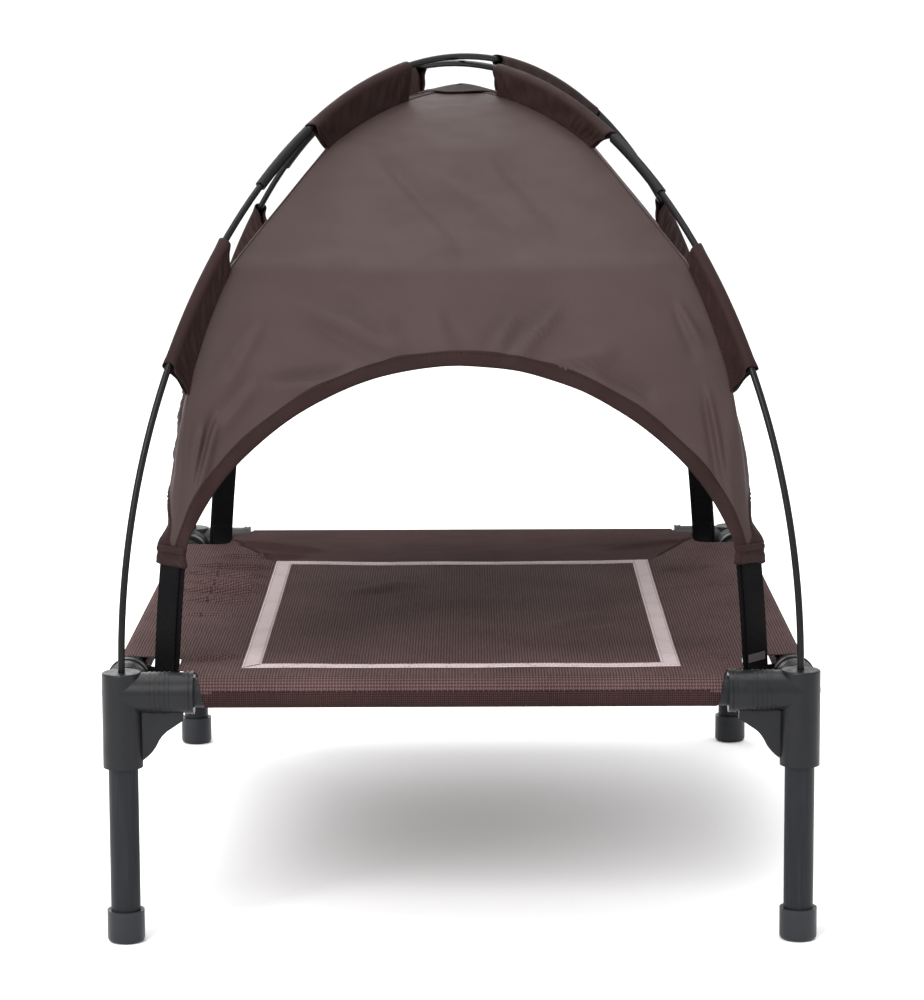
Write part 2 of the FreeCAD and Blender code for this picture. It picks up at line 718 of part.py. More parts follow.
def pole_sleeves(corner):
    """A sleeve near the crown and one over the shoulder, both on the seam of one corner."""
    kind = CORNERS[corner][3]
    top = kind + "_top_radius"
    side = kind + "_side_radius"
    seam = "(upper_cloth_radius + fin_gap)"
    on_top = "upper_cloth_middle + sqrt({seam}^2 - {reach}^2)"
    crown_sleeve = sleeve(
        f"sleeve_{corner}_top", kind, top, "0", f"(bed_height + {kind}_rise - {top})",
        ("top_sleeve_turn_in", "top_sleeve_turn_out"),
        ("top_sleeve_reach_in", on_top.format(seam=seam, reach="top_sleeve_reach_in")),
        ("top_sleeve_reach_out", on_top.format(seam=seam, reach="top_sleeve_reach_out")),
        seam)
    seam = "(lower_cloth_radius + fin_gap)"
    on_side = "lower_cloth_reach + sqrt({seam}^2 - ({height} - lower_cloth_middle)^2)"
    shoulder_sleeve = sleeve(
        f"sleeve_{corner}_side", kind, side, f"(half_diagonal - {side})", "bed_height",
        ("side_sleeve_turn_in", "side_sleeve_turn_out"),
        (on_side.format(seam=seam, height="side_sleeve_height_in"), "side_sleeve_height_in"),
        (on_side.format(seam=seam, height="side_sleeve_height_out"), "side_sleeve_height_out"),
        seam)
    both = doc.addObject("Part::Compound", "sleeves_" + corner)
    both.Links = [crown_sleeve, shoulder_sleeve]
    piece("sleeves_" + corner, both, turn=corner_turn(corner), roll="90")


def corner_hem(corner):
    """Folded hem where the canopy's corner comes down to its strap."""
    half = "hem_width / 2"
    deep = "hem_depth / 2"
    flat = f"{half} - hem_corner"
    side = f"{deep} - hem_corner"
    runs = [
        (f"-({flat})", f"-({deep})"), (flat, f"-({deep})", "hem_corner", 1),
        (half, f"-({side})"), (half, side, "hem_corner", 1),
        (flat, deep), (f"-({flat})", deep, "hem_corner", 1),
        (f"-({half})", side), (f"-({half})", f"-({side})", "hem_corner", 1),
    ]
    node = "hem_" + corner
    turn = corner_turn(corner)
    hem_outline = outline(node + "_outline", runs, across=f"hem_reach * cos({turn})",
                          along=f"hem_reach * sin({turn})", up="tip_height - end_gap - hem_height",
                          turn=f"{turn} + 90")
    piece(node, extrude(node, hem_outline, "hem_height"))


def plate_facing_corner(name, corner, reach, runs, thickness):
    """Upright plate square to the diagonal; runs give (towards the side rail, up)."""
    across, along, _, _ = CORNERS[corner]
    turn = corner_turn(corner)
    mirrored = [(f"{-across * along} * ({run[0]})", run[1]) for run in runs]
    face = outline(name + "_outline", mirrored, across=f"({reach}) * cos({turn})",
                   along=f"({reach}) * sin({turn})", turn=f"{turn} + 90", roll="90")
    return extrude(name, face, thickness, both_ways=True)


def strap(corner):
    half = "strap_width / 2"
    runs = [(f"-{half}", "strap_top"), (half, "strap_top"),
            (f"{half} + strap_lean", "strap_bottom"), (f"strap_lean - {half}", "strap_bottom")]
    node = "strap_" + corner
    piece(node, plate_facing_corner(node, corner, "strap_reach", runs, "strap_thickness"))


def cinch_loop(corner):
    """Loop of webbing round the side rail, with the tab that the strap fastens to."""
    across, along, _, _ = CORNERS[corner]
    node = "cinch_loop_" + corner
    middle = "leg_along - arm_length - loop_offset"
    where = dict(across=f"{across} * leg_across", along=f"{along} * ({middle}) - strap_width / 2",
                 up="rail_height", roll="-90")
    band = rod(node + "_band", "loop_od", "strap_width", **where)
    space = rod(node + "_space", "loop_bore", "strap_width", **where)
    runs = [("tab_side", "tab_bottom"), ("-tab_inner", "tab_bottom"), ("-tab_inner", "tab_top"),
            ("tab_shoulder", "tab_top"), ("tab_shoulder", "tab_link_top"), ("tab_side", "tab_link_top")]
    tab = plate_facing_corner(node + "_tab", corner, "tab_reach", runs, "strap_thickness")
    piece(node, cut(node, fuse(node + "_body", [band, tab]), space))


# ---------------------------------------------------------------- build, check, export

def build():
    fill_tables()
    for corner in CORNERS:
        corner_joint(corner)
        leg(corner)
        foot_cap(corner)
    rails()
    deck_panel()
    deck_front()
    deck_rear()
    deck_side("left", -1)
    deck_side("right", 1)
    deck_tape()
    pole("high", "front_left", "rear_right")
    pole("low", "front_right", "rear_left")
    canopy_cloth()
    for corner in CORNERS:
        pole_sleeves(corner)
        corner_hem(corner)
        strap(corner)
        cinch_loop(corner)
    doc.recompute()


def check():
    for thing in doc.Objects:
        if "Invalid" in thing.State or "Error" in thing.State:
            raise RuntimeError(f"{thing.Name} failed: {thing.State}")
    for node, solid in made.items():
        if solid.Shape.isNull() or not solid.Shape.isValid() or not solid.Shape.Solids:
            raise RuntimeError(f"{node} has no valid solid")


def export():
    os.makedirs("parts", exist_ok=True)
    for node, solid in made.items():
        solid.Shape.exportStep(f"parts/{node}.step")
        box = solid.Shape.optimalBoundingBox()
        print(f"{node}: {len(solid.Shape.Solids)} solid, X {box.XMin:.1f} to {box.XMax:.1f}, "
              f"Y {box.YMin:.1f} to {box.YMax:.1f}, Z {box.ZMin:.1f} to {box.ZMax:.1f}")


build()
check()
export()
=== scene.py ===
import math

import bmesh
import bpy
import numpy as np
from mathutils import Matrix, Vector


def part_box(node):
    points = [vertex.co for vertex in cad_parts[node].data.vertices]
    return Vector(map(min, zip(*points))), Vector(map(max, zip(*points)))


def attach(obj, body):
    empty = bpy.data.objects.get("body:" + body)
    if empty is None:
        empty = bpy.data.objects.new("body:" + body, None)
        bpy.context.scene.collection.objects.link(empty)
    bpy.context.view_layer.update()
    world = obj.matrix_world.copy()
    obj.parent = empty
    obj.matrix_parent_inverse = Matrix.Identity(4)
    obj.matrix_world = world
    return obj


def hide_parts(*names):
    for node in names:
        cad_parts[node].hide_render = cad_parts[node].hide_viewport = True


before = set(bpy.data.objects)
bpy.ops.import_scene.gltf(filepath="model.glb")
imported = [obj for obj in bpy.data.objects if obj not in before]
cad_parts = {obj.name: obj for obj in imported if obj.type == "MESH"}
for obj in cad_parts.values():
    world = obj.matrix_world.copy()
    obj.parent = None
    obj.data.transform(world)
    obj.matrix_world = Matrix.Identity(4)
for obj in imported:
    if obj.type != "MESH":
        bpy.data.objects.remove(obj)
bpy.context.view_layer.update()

# -------------------- sizes
# Metres. Lengths written in millimetres are multiplied by MM.

MM = 0.001
CORNERS = {"front_left": (-1, -1), "front_right": (1, -1), "rear_right": (1, 1), "rear_left": (-1, 1)}
QUARTERS = {"front": 0, "right": 1, "rear": 2, "left": 3}


def middle(node):
    low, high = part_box(node)
    return (low + high) / 2


# Frame
LEG_X, LEG_Y = middle("leg_rear_right").xy
HALF_DIAGONAL = math.hypot(LEG_X, LEG_Y)
ACROSS, ALONG = LEG_X / HALF_DIAGONAL, LEG_Y / HALF_DIAGONAL
RAIL_Z = middle("rail_front").z
COLLAR_PROUD = 0.35 * MM
BED_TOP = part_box("joint_front_left")[1].z - COLLAR_PROUD

# Poles: a flatter top arc between two side arcs
POLE_RADIUS = 2.25 * MM
POLE_TOP_TURN = math.radians(30)
HIGH_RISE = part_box("pole_high_middle")[1].z - POLE_RADIUS - BED_TOP
LOW_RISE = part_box("pole_low_middle")[1].z - POLE_RADIUS - BED_TOP
RISE = {"front_left": HIGH_RISE, "rear_right": HIGH_RISE, "front_right": LOW_RISE, "rear_left": LOW_RISE}

# Canopy seam, in the upright plane through two opposite corners: an upper and a lower arc
CROWN_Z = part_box("canopy_front")[1].z
TIP_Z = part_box("canopy_front")[0].z
TIP_REACH = -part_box("canopy_front")[0].y / ALONG
CREASE_REACH = TIP_REACH - 69 * MM
CREASE_Z = 427 * MM
LOWER_RADIUS = 300 * MM
UPPER_RADIUS = (CREASE_REACH ** 2 + (CROWN_Z - CREASE_Z) ** 2) / (2 * (CROWN_Z - CREASE_Z))
UPPER_MIDDLE = CROWN_Z - UPPER_RADIUS
UPPER_LENGTH = UPPER_RADIUS * math.asin(CREASE_REACH / UPPER_RADIUS)
TIP_CHORD = math.hypot(TIP_REACH - CREASE_REACH, CREASE_Z - TIP_Z)
TIP_SINK = math.sqrt(LOWER_RADIUS ** 2 - TIP_CHORD ** 2 / 4) / TIP_CHORD
LOWER_REACH = (CREASE_REACH + TIP_REACH) / 2 - (CREASE_Z - TIP_Z) * TIP_SINK
LOWER_MIDDLE = (CREASE_Z + TIP_Z) / 2 - (TIP_REACH - CREASE_REACH) * TIP_SINK
LOWER_START = math.acos((CREASE_Z - LOWER_MIDDLE) / LOWER_RADIUS)
CLOTH_END = TIP_Z - 4 * MM          # the cloth runs on into the hem
# Stretches of seam that are pulled straight, from one sleeve to the next and on to the tip:
# distances from the crown and how far the seam sinks in between.
TAUT = [
    (150 * MM, UPPER_LENGTH + 4 * MM, 5.5 * MM),
    (UPPER_LENGTH + 78 * MM, UPPER_LENGTH + 194 * MM, 4.4 * MM),
]
CLOTH_THICKNESS = 0.9 * MM
ARCH_CROWN = 366 * MM
ARCH_INSET = 4 * MM

# Corner hems and straps
HEM_REACH = middle("hem_rear_right").xy.length
HEM_HALF = 12 * MM
HEM_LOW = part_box("hem_rear_right")[0].z
STRAP_REACH = HEM_REACH - 3.1 * MM
STRAP_HALF = 10 * MM
STRAP_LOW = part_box("strap_rear_right")[0].z
STRAP_LEAN = 8.4 * MM

# Deck
DECK_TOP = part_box("deck_front")[1].z
ROLL_RADIUS = DECK_TOP - RAIL_Z
TAPE_WIDTH = 12 * MM
TAPE_LOW, TAPE_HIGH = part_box("deck_tape")


def smooth(value):
    """Ease from 0 to 1 as the value goes from 0 to 1."""
    value = np.clip(value, 0, 1)
    return value * value * (3 - 2 * value)


def bump(value, width):
    return np.exp(-(value / width) ** 2)


def mirrored(values, sign):
    """Values from the middle outwards, with the other half put before them."""
    return np.concatenate([sign * values[:0:-1], values])


def walk(line):
    """Distance along a line of points, at each of them."""
    return np.concatenate([[0], np.cumsum(np.linalg.norm(np.diff(line, axis=0), axis=1))])


def placed(name, data):
    """A new object in the scene."""
    made = bpy.data.objects.new(name, data)
    bpy.context.scene.collection.objects.link(made)
    return made


def fitted(made, body, slot, *stands_for):
    """Put a piece on its body, in place of the frame's nodes that it stands for."""
    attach(made, body)
    if stands_for:
        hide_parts(*stands_for)
    return made


# -------------------- mesh building

WELD_GAP = 0.01 * MM
LEAST_EDGE = 0.005 * MM
END_SHRINK = 0.86                   # size of a carried section's last ring
UP = np.array([0, 0, 1.0])


def build(name, grids, materials, closed=False, thickness=0.0, inward=-1.0, zone=None):
    """One smooth object from grids of points (rows, columns, 3), each with its place on the flat
    cloth (rows, columns, 2) in metres. Edges that coincide are sewn. zone gives a face's material."""
    corners, flats, faces = [], [], []
    start = 0
    for points, flat in grids:
        rows, columns = points.shape[:2]
        index = start + np.arange(rows * columns).reshape(rows, columns)
        quads = np.stack([index[:-1, :-1], index[1:, :-1], index[1:, 1:], index[:-1, 1:]], -1)
        faces.append(quads.reshape(-1, 4))
        corners.append(points.reshape(-1, 3))
        flats.append(flat.reshape(-1, 2))
        start += rows * columns
    corners, flats, faces = np.concatenate(corners), np.concatenate(flats), np.concatenate(faces)
    mesh = bpy.data.meshes.new(name)
    mesh.from_pydata(corners.tolist(), [], faces.tolist())
    layer = mesh.uv_layers.new(name="flat")
    layer.data.foreach_set("uv", flats[faces.reshape(-1)].astype(np.float32).reshape(-1))
    for material in materials:
        mesh.materials.append(material)
    if zone is not None:
        mesh.polygons.foreach_set("material_index", zone(flats[faces].mean(1)).astype(np.int32))
    shell = bmesh.new()
    shell.from_mesh(mesh)
    bmesh.ops.remove_doubles(shell, verts=shell.verts, dist=WELD_GAP)
    bmesh.ops.dissolve_degenerate(shell, edges=shell.edges, dist=LEAST_EDGE)
    if closed:
        rims = [edge for edge in shell.edges if edge.is_boundary]
        bmesh.ops.holes_fill(shell, edges=rims, sides=0)
        bmesh.ops.recalc_face_normals(shell, faces=shell.faces)
    for face in shell.faces:
        face.smooth = True
    shell.to_mesh(mesh)
    shell.free()
    made = placed(name, mesh)
    if thickness:
        wall = made.modifiers.new("thickness", "SOLIDIFY")
        wall.thickness = thickness
        wall.offset = inward
    return made


def ring_flat(rings):
    """Flat places for rings of points round a long piece: along it, and round it."""
    steps = np.linalg.norm(np.diff(rings, axis=0), axis=-1).mean(1)
    along = np.concatenate([[0], np.cumsum(steps)])
    around = np.linalg.norm(np.diff(rings, axis=1), axis=-1).mean(0)
    around = np.concatenate([[0], np.cumsum(around)])
    return np.stack(np.meshgrid(around, along), -1)


def along_line(line, section, side):
    """Closed grid that carries a section (across, outward) along a line of points. side is the
    section's across direction. The ends are rounded by shrinking their last rings."""
    tangent = np.gradient(line, axis=0)
    tangent /= np.linalg.norm(tangent, axis=1, keepdims=True)
    side = np.broadcast_to(side, line.shape)
    side = side - tangent * (side * tangent).sum(1, keepdims=True)
    side = side / np.linalg.norm(side, axis=1, keepdims=True)
    outward = np.cross(side, tangent)
    loop = np.concatenate([section, section[:1]])
    rings = line[:, None] + side[:, None] * loop[None, :, :1] + outward[:, None] * loop[None, :, 1:]
    lip = np.abs(section[:, 1]).max()
    for end, direction in ((0, -1), (-1, 1)):
        inner = line[end] + (rings[end] - line[end]) * END_SHRINK + tangent[end] * direction * lip * 0.5
        rings = np.concatenate([inner[None], rings] if end == 0 else [rings, inner[None]])
    return rings, ring_flat(rings)


def flat_section(half_width, half_thickness, points=6):
    """Outline of a strip of webbing: flat faces and round edges."""
    turn = np.linspace(-math.pi / 2, math.pi / 2, points)
    right = np.stack([half_width - half_thickness + half_thickness * np.cos(turn),
                      half_thickness * np.sin(turn)], 1)
    face = np.linspace(0.6, -0.6, 5)[:, None] * np.array([[half_width, 0.0]])
    top = face + [0, half_thickness]
    bottom = -face - [0, half_thickness]
    return np.concatenate([right, top, -right, bottom])


def round_section(radius, points=8):
    turn = np.linspace(0, 2 * math.pi, points, endpoint=False)
    return radius * np.stack([np.cos(turn), np.sin(turn)], 1)


def resample(line, step):
    """Points along a line, a step apart, and the direction there."""
    along = walk(line)
    wanted = np.arange(step / 2, along[-1], step)
    behind, spots, ahead = [
        np.stack([np.interp(wanted + shift, along, line[:, axis]) for axis in range(3)], 1)
        for shift in (-step / 8, 0, step / 8)
    ]
    direction = ahead - behind
    return spots, direction / np.linalg.norm(direction, axis=1, keepdims=True)


def stitches(name, lines, body, slot, material, pitch=3.2 * MM, length=2.2 * MM, radius=0.32 * MM):
    """Rows of thread, each stitch a small spindle."""
    stations = np.array([-0.5, -0.3, 0, 0.3, 0.5]) * length
    girths = np.array([0.15, 0.85, 1, 0.85, 0.15]) * radius
    turn = np.linspace(0, 2 * math.pi, 7)
    grids = []
    for line in lines:
        for spot, direction in zip(*resample(line, pitch)):
            side = np.cross(direction, UP)
            side /= np.linalg.norm(side)
            top = np.cross(side, direction)
            wheel = np.cos(turn)[:, None] * side + np.sin(turn)[:, None] * top
            rings = spot + stations[:, None, None] * direction + girths[:, None, None] * wheel
            grids.append((rings, np.zeros(rings.shape[:2] + (2,))))
    return fitted(build(name, grids, [material], closed=True), body, slot)


# -------------------- materials

def linear(red, green, blue):
    """Colour as the shader wants it, from 0-255 screen values."""
    parts = [part / 255 for part in (red, green, blue)]
    return [part / 12.92 if part <= 0.04045 else ((part + 0.055) / 1.055) ** 2.4 for part in parts] + [1]


def scaled(colour, share):
    return linear(*[part * share for part in colour])


class Surface:
    """A material. Plain values go on the shader's own sockets; patterns come from nodes."""

    def __init__(self, name, **plain):
        self.material = bpy.data.materials.new(name)
        self.material.use_nodes = True
        self.tree = self.material.node_tree
        self.shader = self.tree.nodes["Principled BSDF"]
        for word, number in plain.items():
            self.shader.inputs[word.replace("_", " ")].default_value = number

    def node(self, kind, inputs, output=0, **settings):
        made = self.tree.nodes.new("ShaderNode" + kind)
        for word, setting in settings.items():
            setattr(made, word, setting)
        for socket, source in inputs.items():
            if isinstance(source, bpy.types.NodeSocket):
                self.tree.links.new(source, made.inputs[socket])
            else:
                made.inputs[socket].default_value = source
        return made.outputs[output]

    def math(self, operation, first, second=0.0):
        return self.node("Math", {0: first, 1: second}, operation=operation)

    def place(self):
        """Where a point is on the object, in metres."""
        return self.node("TexCoord", {}, output="Object")

    def flat(self):
        """Where a point is on the flat cloth, in metres."""
        return self.node("UVMap", {}, uv_map="flat")

    def noise(self, where, scale, detail=2.0):
        return self.node("TexNoise", {"Vector": where, "Scale": scale, "Detail": detail})

    def stretched(self, where, x, y, z):
        return self.node("Mapping", {"Vector": where, "Scale": (x, y, z)})

    def remap(self, value, low, high, new_low, new_high):
        return self.node("MapRange", {"Value": value, "From Min": low, "From Max": high,
                                      "To Min": new_low, "To Max": new_high})

    def mix(self, share, first, second):
        return self.node("Mix", {0: share, 6: first, 7: second}, output=2, data_type="RGBA")

    def threads(self, across_pitch, along_pitch):
        """Plain weave: each thread's rounded height where it lies on top, and the gaps between."""
        axes = self.node("SeparateXYZ", {"Vector": self.flat()})
        parts = axes.node.outputs
        waves = []
        for part, pitch in zip(parts, (across_pitch, along_pitch)):
            waves.append(self.math("SINE", self.math("MULTIPLY", part, math.pi / pitch)))
        sizes = [self.math("ABSOLUTE", wave) for wave in waves]
        upper = self.math("GREATER_THAN", self.math("MULTIPLY", *waves), 0.0)
        lower = self.math("SUBTRACT", 1.0, upper)
        over = self.math("MULTIPLY", sizes[0], upper)
        under = self.math("MULTIPLY", sizes[1], lower)
        return self.math("ADD", over, under), self.math("MULTIPLY", *sizes)

    def relief(self, height, distance, strength, before=None):
        inputs = {"Height": height, "Distance": distance, "Strength": strength}
        if before is not None:
            inputs["Normal"] = before
        return self.node("Bump", inputs)

    def finish(self, colour, normal=None, roughness=None):
        self.tree.links.new(colour, self.shader.inputs["Base Color"])
        if normal is not None:
            self.tree.links.new(normal, self.shader.inputs["Normal"])
        if roughness is not None:
            self.tree.links.new(roughness, self.shader.inputs["Roughness"])
        return self.material


def coated_cloth(name, colour, dark, gloss, shine=0.12):
    """Coated polyester: a very fine weave with painted shade between its threads, faint crumple marks and
    uneven shine.
    """
    cloth = Surface(name, Sheen_Weight=0.02, Sheen_Roughness=0.45, Specular_IOR_Level=shine)
    cloth.shader.inputs["Sheen Tint"].default_value = linear(190, 170, 168)
    height, _ = cloth.threads(0.45 * MM, 0.45 * MM)
    blotch = cloth.noise(cloth.flat(), 9.0, 3.0)
    crumple = cloth.noise(cloth.stretched(cloth.flat(), 38.0, 60.0, 1.0), 1.0, 5.0)
    shade = cloth.mix(cloth.remap(blotch, 0.35, 0.7, 0.0, 1.0), linear(*colour), linear(*dark))
    # Painted shade: the colour is darkened between the weave's threads, where they lie low.
    shade = cloth.mix(cloth.remap(height, 0.0, 1.0, 0.22, 0.0), shade, scaled(dark, 0.5))
    normal = cloth.relief(crumple, 0.5 * MM, 0.35)
    normal = cloth.relief(height, 0.1 * MM, 0.5, normal)
    rough = cloth.remap(crumple, 0.3, 0.7, gloss, gloss + 0.16)
    return cloth.finish(shade, normal, rough)


def coarse_mesh(name, light, dark, gap, pitch):
    """Coated mesh fabric with round threads, painted shade in the small gaps between them and a painted
    highlight on their crowns.
    """
    cloth = Surface(name, Specular_IOR_Level=0.01)
    height, cover = cloth.threads(pitch, pitch * 1.25)
    blotch = cloth.noise(cloth.flat(), 14.0, 2.0)
    thread = cloth.noise(cloth.stretched(cloth.flat(), 700.0, 60.0, 1.0), 1.0, 2.0)
    tone = cloth.math("ADD", cloth.math("MULTIPLY", blotch, 0.55), cloth.math("MULTIPLY", thread, 0.45))
    shade = cloth.mix(cloth.remap(tone, 0.38, 0.64, 0.0, 1.0), linear(*light), linear(*dark))
    # Painted shade: the gaps between threads, where little thread covers, are coloured dark.
    shade = cloth.mix(cloth.remap(cover, 0.04, 0.3, 0.75, 0.0), shade, linear(*gap))
    # Painted highlight: the highest parts of the threads are coloured lighter.
    shade = cloth.mix(cloth.remap(height, 0.82, 1.0, 0.0, 0.3), shade, scaled(light, 1.35))
    normal = cloth.relief(height, 0.5 * MM, 0.8)
    rough = cloth.remap(cover, 0.0, 0.6, 0.85, 0.55)
    return cloth.finish(shade, normal, rough)


def ribbed_band(name, light, dark, rib, gloss=0.6):
    """Woven band with ribs across it, such as webbing or tape, painted darker in the grooves between ribs as
    shade.
    """
    band = Surface(name, Specular_IOR_Level=0.05)
    height, _ = band.threads(rib * 0.5, rib)
    fuzz = band.noise(band.flat(), 260.0, 3.0)
    worn = band.noise(band.flat(), 35.0, 2.0)
    # Painted shade: the colour runs from dark in the grooves to the light colour on the ribs' tops.
    shade = band.mix(band.remap(height, 0.1, 1.0, 0.0, 1.0), linear(*dark), linear(*light))
    shade = band.mix(band.remap(worn, 0.5, 0.8, 0.0, 0.45), shade, scaled(light, 0.8))
    normal = band.relief(height, 0.3 * MM, 0.8)
    normal = band.relief(fuzz, 0.1 * MM, 0.4, normal)
    rough = band.remap(worn, 0.3, 0.7, gloss, gloss + 0.2)
    return band.finish(shade, normal, rough)


def moulded_plastic(name, colour, scuff):
    """Moulded plastic: fine spark texture, soft colour change and scattered scuffs."""
    plastic = Surface(name, Specular_IOR_Level=0.22)
    grain = plastic.noise(plastic.place(), 1600.0, 2.0)
    flow = plastic.noise(plastic.stretched(plastic.place(), 30.0, 30.0, 9.0), 1.0, 3.0)
    marks = plastic.noise(plastic.stretched(plastic.place(), 240.0, 240.0, 60.0), 1.0, 4.0)
    shade = plastic.mix(plastic.remap(flow, 0.35, 0.7, 0.0, 1.0), linear(*colour), scaled(colour, 0.82))
    shade = plastic.mix(plastic.remap(marks, 0.66, 0.8, 0.0, 0.5), shade, linear(*scuff))
    normal = plastic.relief(grain, 0.08 * MM, 0.5)
    rough = plastic.remap(marks, 0.3, 0.75, 0.3, 0.5)
    return plastic.finish(shade, normal, rough)


def coated_tube(name, colour, gloss, coat=0.0):
    """Powder-coated or drawn rod: orange-peel skin and long faint rub marks."""
    metal = Surface(name, Specular_IOR_Level=0.14, Coat_Weight=coat, Coat_Roughness=0.25)
    peel = metal.noise(metal.place(), 420.0, 2.0)
    rubs = metal.noise(metal.stretched(metal.place(), 500.0, 500.0, 25.0), 1.0, 3.0)
    shade = metal.mix(metal.remap(rubs, 0.45, 0.8, 0.0, 0.6), linear(*colour),
                      linear(*[min(255, part * 1.35 + 8) for part in colour]))
    normal = metal.relief(peel, 0.12 * MM, 0.4)
    rough = metal.remap(rubs, 0.3, 0.7, gloss, gloss + 0.15)
    return metal.finish(shade, normal, rough)


def pale_floor():
    floor = Surface("floor", Roughness=0.9, Specular_IOR_Level=0.1)
    cloud = floor.noise(floor.place(), 0.6, 1.0)
    return floor.finish(floor.mix(cloud, linear(250, 250, 250), linear(246, 246, 246)))


CANOPY = coated_cloth("canopy_cloth", (58, 45, 44), (52, 39, 38), 0.38, 0.14)
TRIM = coated_cloth("canopy_trim", (39, 25, 24), (31, 19, 18), 0.5, 0.08)
MESH = coarse_mesh("deck_mesh", (79, 62, 61), (64, 49, 48), (18, 11, 11), 1.9 * MM)
MESH_UNDER = coarse_mesh("deck_mesh_under", (54, 39, 38), (44, 31, 30), (16, 10, 10), 1.3 * MM)
BAND = coated_cloth("deck_band", (60, 44, 44), (52, 37, 37), 0.7, 0.01)
TAPE = ribbed_band("deck_tape", (196, 181, 182), (166, 150, 152), 1.0 * MM, 0.55)
WEBBING = ribbed_band("webbing", (13, 13, 15), (5, 5, 6), 1.6 * MM)
THREAD_DARK = ribbed_band("thread_dark", (60, 44, 44), (40, 28, 28), 0.4 * MM)
THREAD_PALE = ribbed_band("thread_pale", (180, 165, 168), (140, 126, 130), 0.4 * MM)
LABEL = ribbed_band("label", (92, 86, 87), (52, 48, 49), 0.5 * MM)
PLASTIC = moulded_plastic("black_plastic", (13, 14, 17), (30, 32, 35))
FOOT_PLASTIC = moulded_plastic("foot_plastic", (32, 33, 37), (52, 54, 58))
TUBE = coated_tube("tube", (22, 23, 26), 0.36)
POLE = coated_tube("pole", (7, 7, 7), 0.3, 0.04)
FERRULE = coated_tube("ferrule", (9, 9, 9), 0.42)


# -------------------- canopy surface

def seam_line(distance):
    """Reach, height and slope of the canopy's seam at a distance from the crown."""
    above = distance < UPPER_LENGTH
    slope = np.where(above, distance / UPPER_RADIUS, LOWER_START + (distance - UPPER_LENGTH) / LOWER_RADIUS)
    radius = np.where(above, UPPER_RADIUS, LOWER_RADIUS)
    reach = radius * np.sin(slope) + np.where(above, 0, LOWER_REACH)
    height = radius * np.cos(slope) + np.where(above, UPPER_MIDDLE, LOWER_MIDDLE)
    sink = sum(depth * np.sin(math.pi * np.clip((distance - start) / (end - start), 0, 1))
               for start, end, depth in TAUT)
    return reach - sink * np.sin(slope), height - sink * np.cos(slope), slope


def seam_distance(height):
    """How far down from the crown the seam reaches a height."""
    upper = UPPER_RADIUS * np.arccos(np.clip((height - UPPER_MIDDLE) / UPPER_RADIUS, -1, 1))
    turn = np.arccos(np.clip((height - LOWER_MIDDLE) / LOWER_RADIUS, -1, 1)) - LOWER_START
    return np.where(height >= CREASE_Z, upper, UPPER_LENGTH + LOWER_RADIUS * turn)


END_REACH = float(seam_line(seam_distance(np.array(CLOTH_END)))[0])


class Panel:
    """One side of the canopy. half and out are its half width and its stand-off from the middle,
    as shares of the seam's reach. Its opening is a crown arc between two shoulder arcs."""

    def __init__(self, half, out, foot, shoulder):
        self.half, self.out, self.shoulder = half, out, shoulder
        step = TIP_REACH * half - ARCH_INSET - shoulder
        drop = ARCH_CROWN - foot
        self.radius = (step ** 2 + drop ** 2 - shoulder ** 2) / (2 * (drop - shoulder))
        self.turn = math.asin(step / (self.radius - shoulder))
        self.side_middle = (step, foot)
        self.end = math.acos((CLOTH_END - foot) / shoulder)
        self.leg = half * END_REACH - self.arch(np.array(self.end))[0]
        path = self.arch(np.linspace(0, self.end, 90))
        self.edge = np.stack(path, -1)

    def arch(self, turn, grow=0.0):
        """Place (across, up) on the opening's edge, or off it by grow, where the edge faces turn."""
        crown = turn <= self.turn
        radius = np.where(crown, self.radius, self.shoulder) + grow
        across = radius * np.sin(turn) + np.where(crown, 0, self.side_middle[0])
        up = radius * np.cos(turn) + np.where(crown, ARCH_CROWN - self.radius, self.side_middle[1])
        return across, up

    def edge_turns(self, step):
        """Directions that walk the edge from its middle to its foot in even steps."""
        crown = np.linspace(0, self.turn, int(self.radius * self.turn / step), endpoint=False)
        side = np.linspace(self.turn, self.end, int(self.shoulder * (self.end - self.turn) / step))
        return np.concatenate([crown, side])

    def whole_edge(self):
        """The same along the whole edge, from foot to foot."""
        return mirrored(self.edge_turns(3 * MM), -1)

    def off_edge(self, turns, grow):
        """How far across, and from the crown along the cloth, places off the whole edge are."""
        across, up = self.arch(np.abs(turns), grow)
        return across * np.sign(turns + 1e-9), seam_distance(up)

    def edge_distance(self, across, up):
        spots = np.stack([np.abs(across), up], -1)[..., None, :]
        return np.sqrt(((spots - self.edge) ** 2).sum(-1).min(-1))


FRONT = Panel(half=ACROSS, out=ALONG, foot=199.1 * MM, shoulder=152.5 * MM)
SIDE = Panel(half=ALONG, out=ACROSS, foot=212.1 * MM, shoulder=109.3 * MM)
PANELS = {"front": FRONT, "right": SIDE, "rear": FRONT, "left": SIDE}
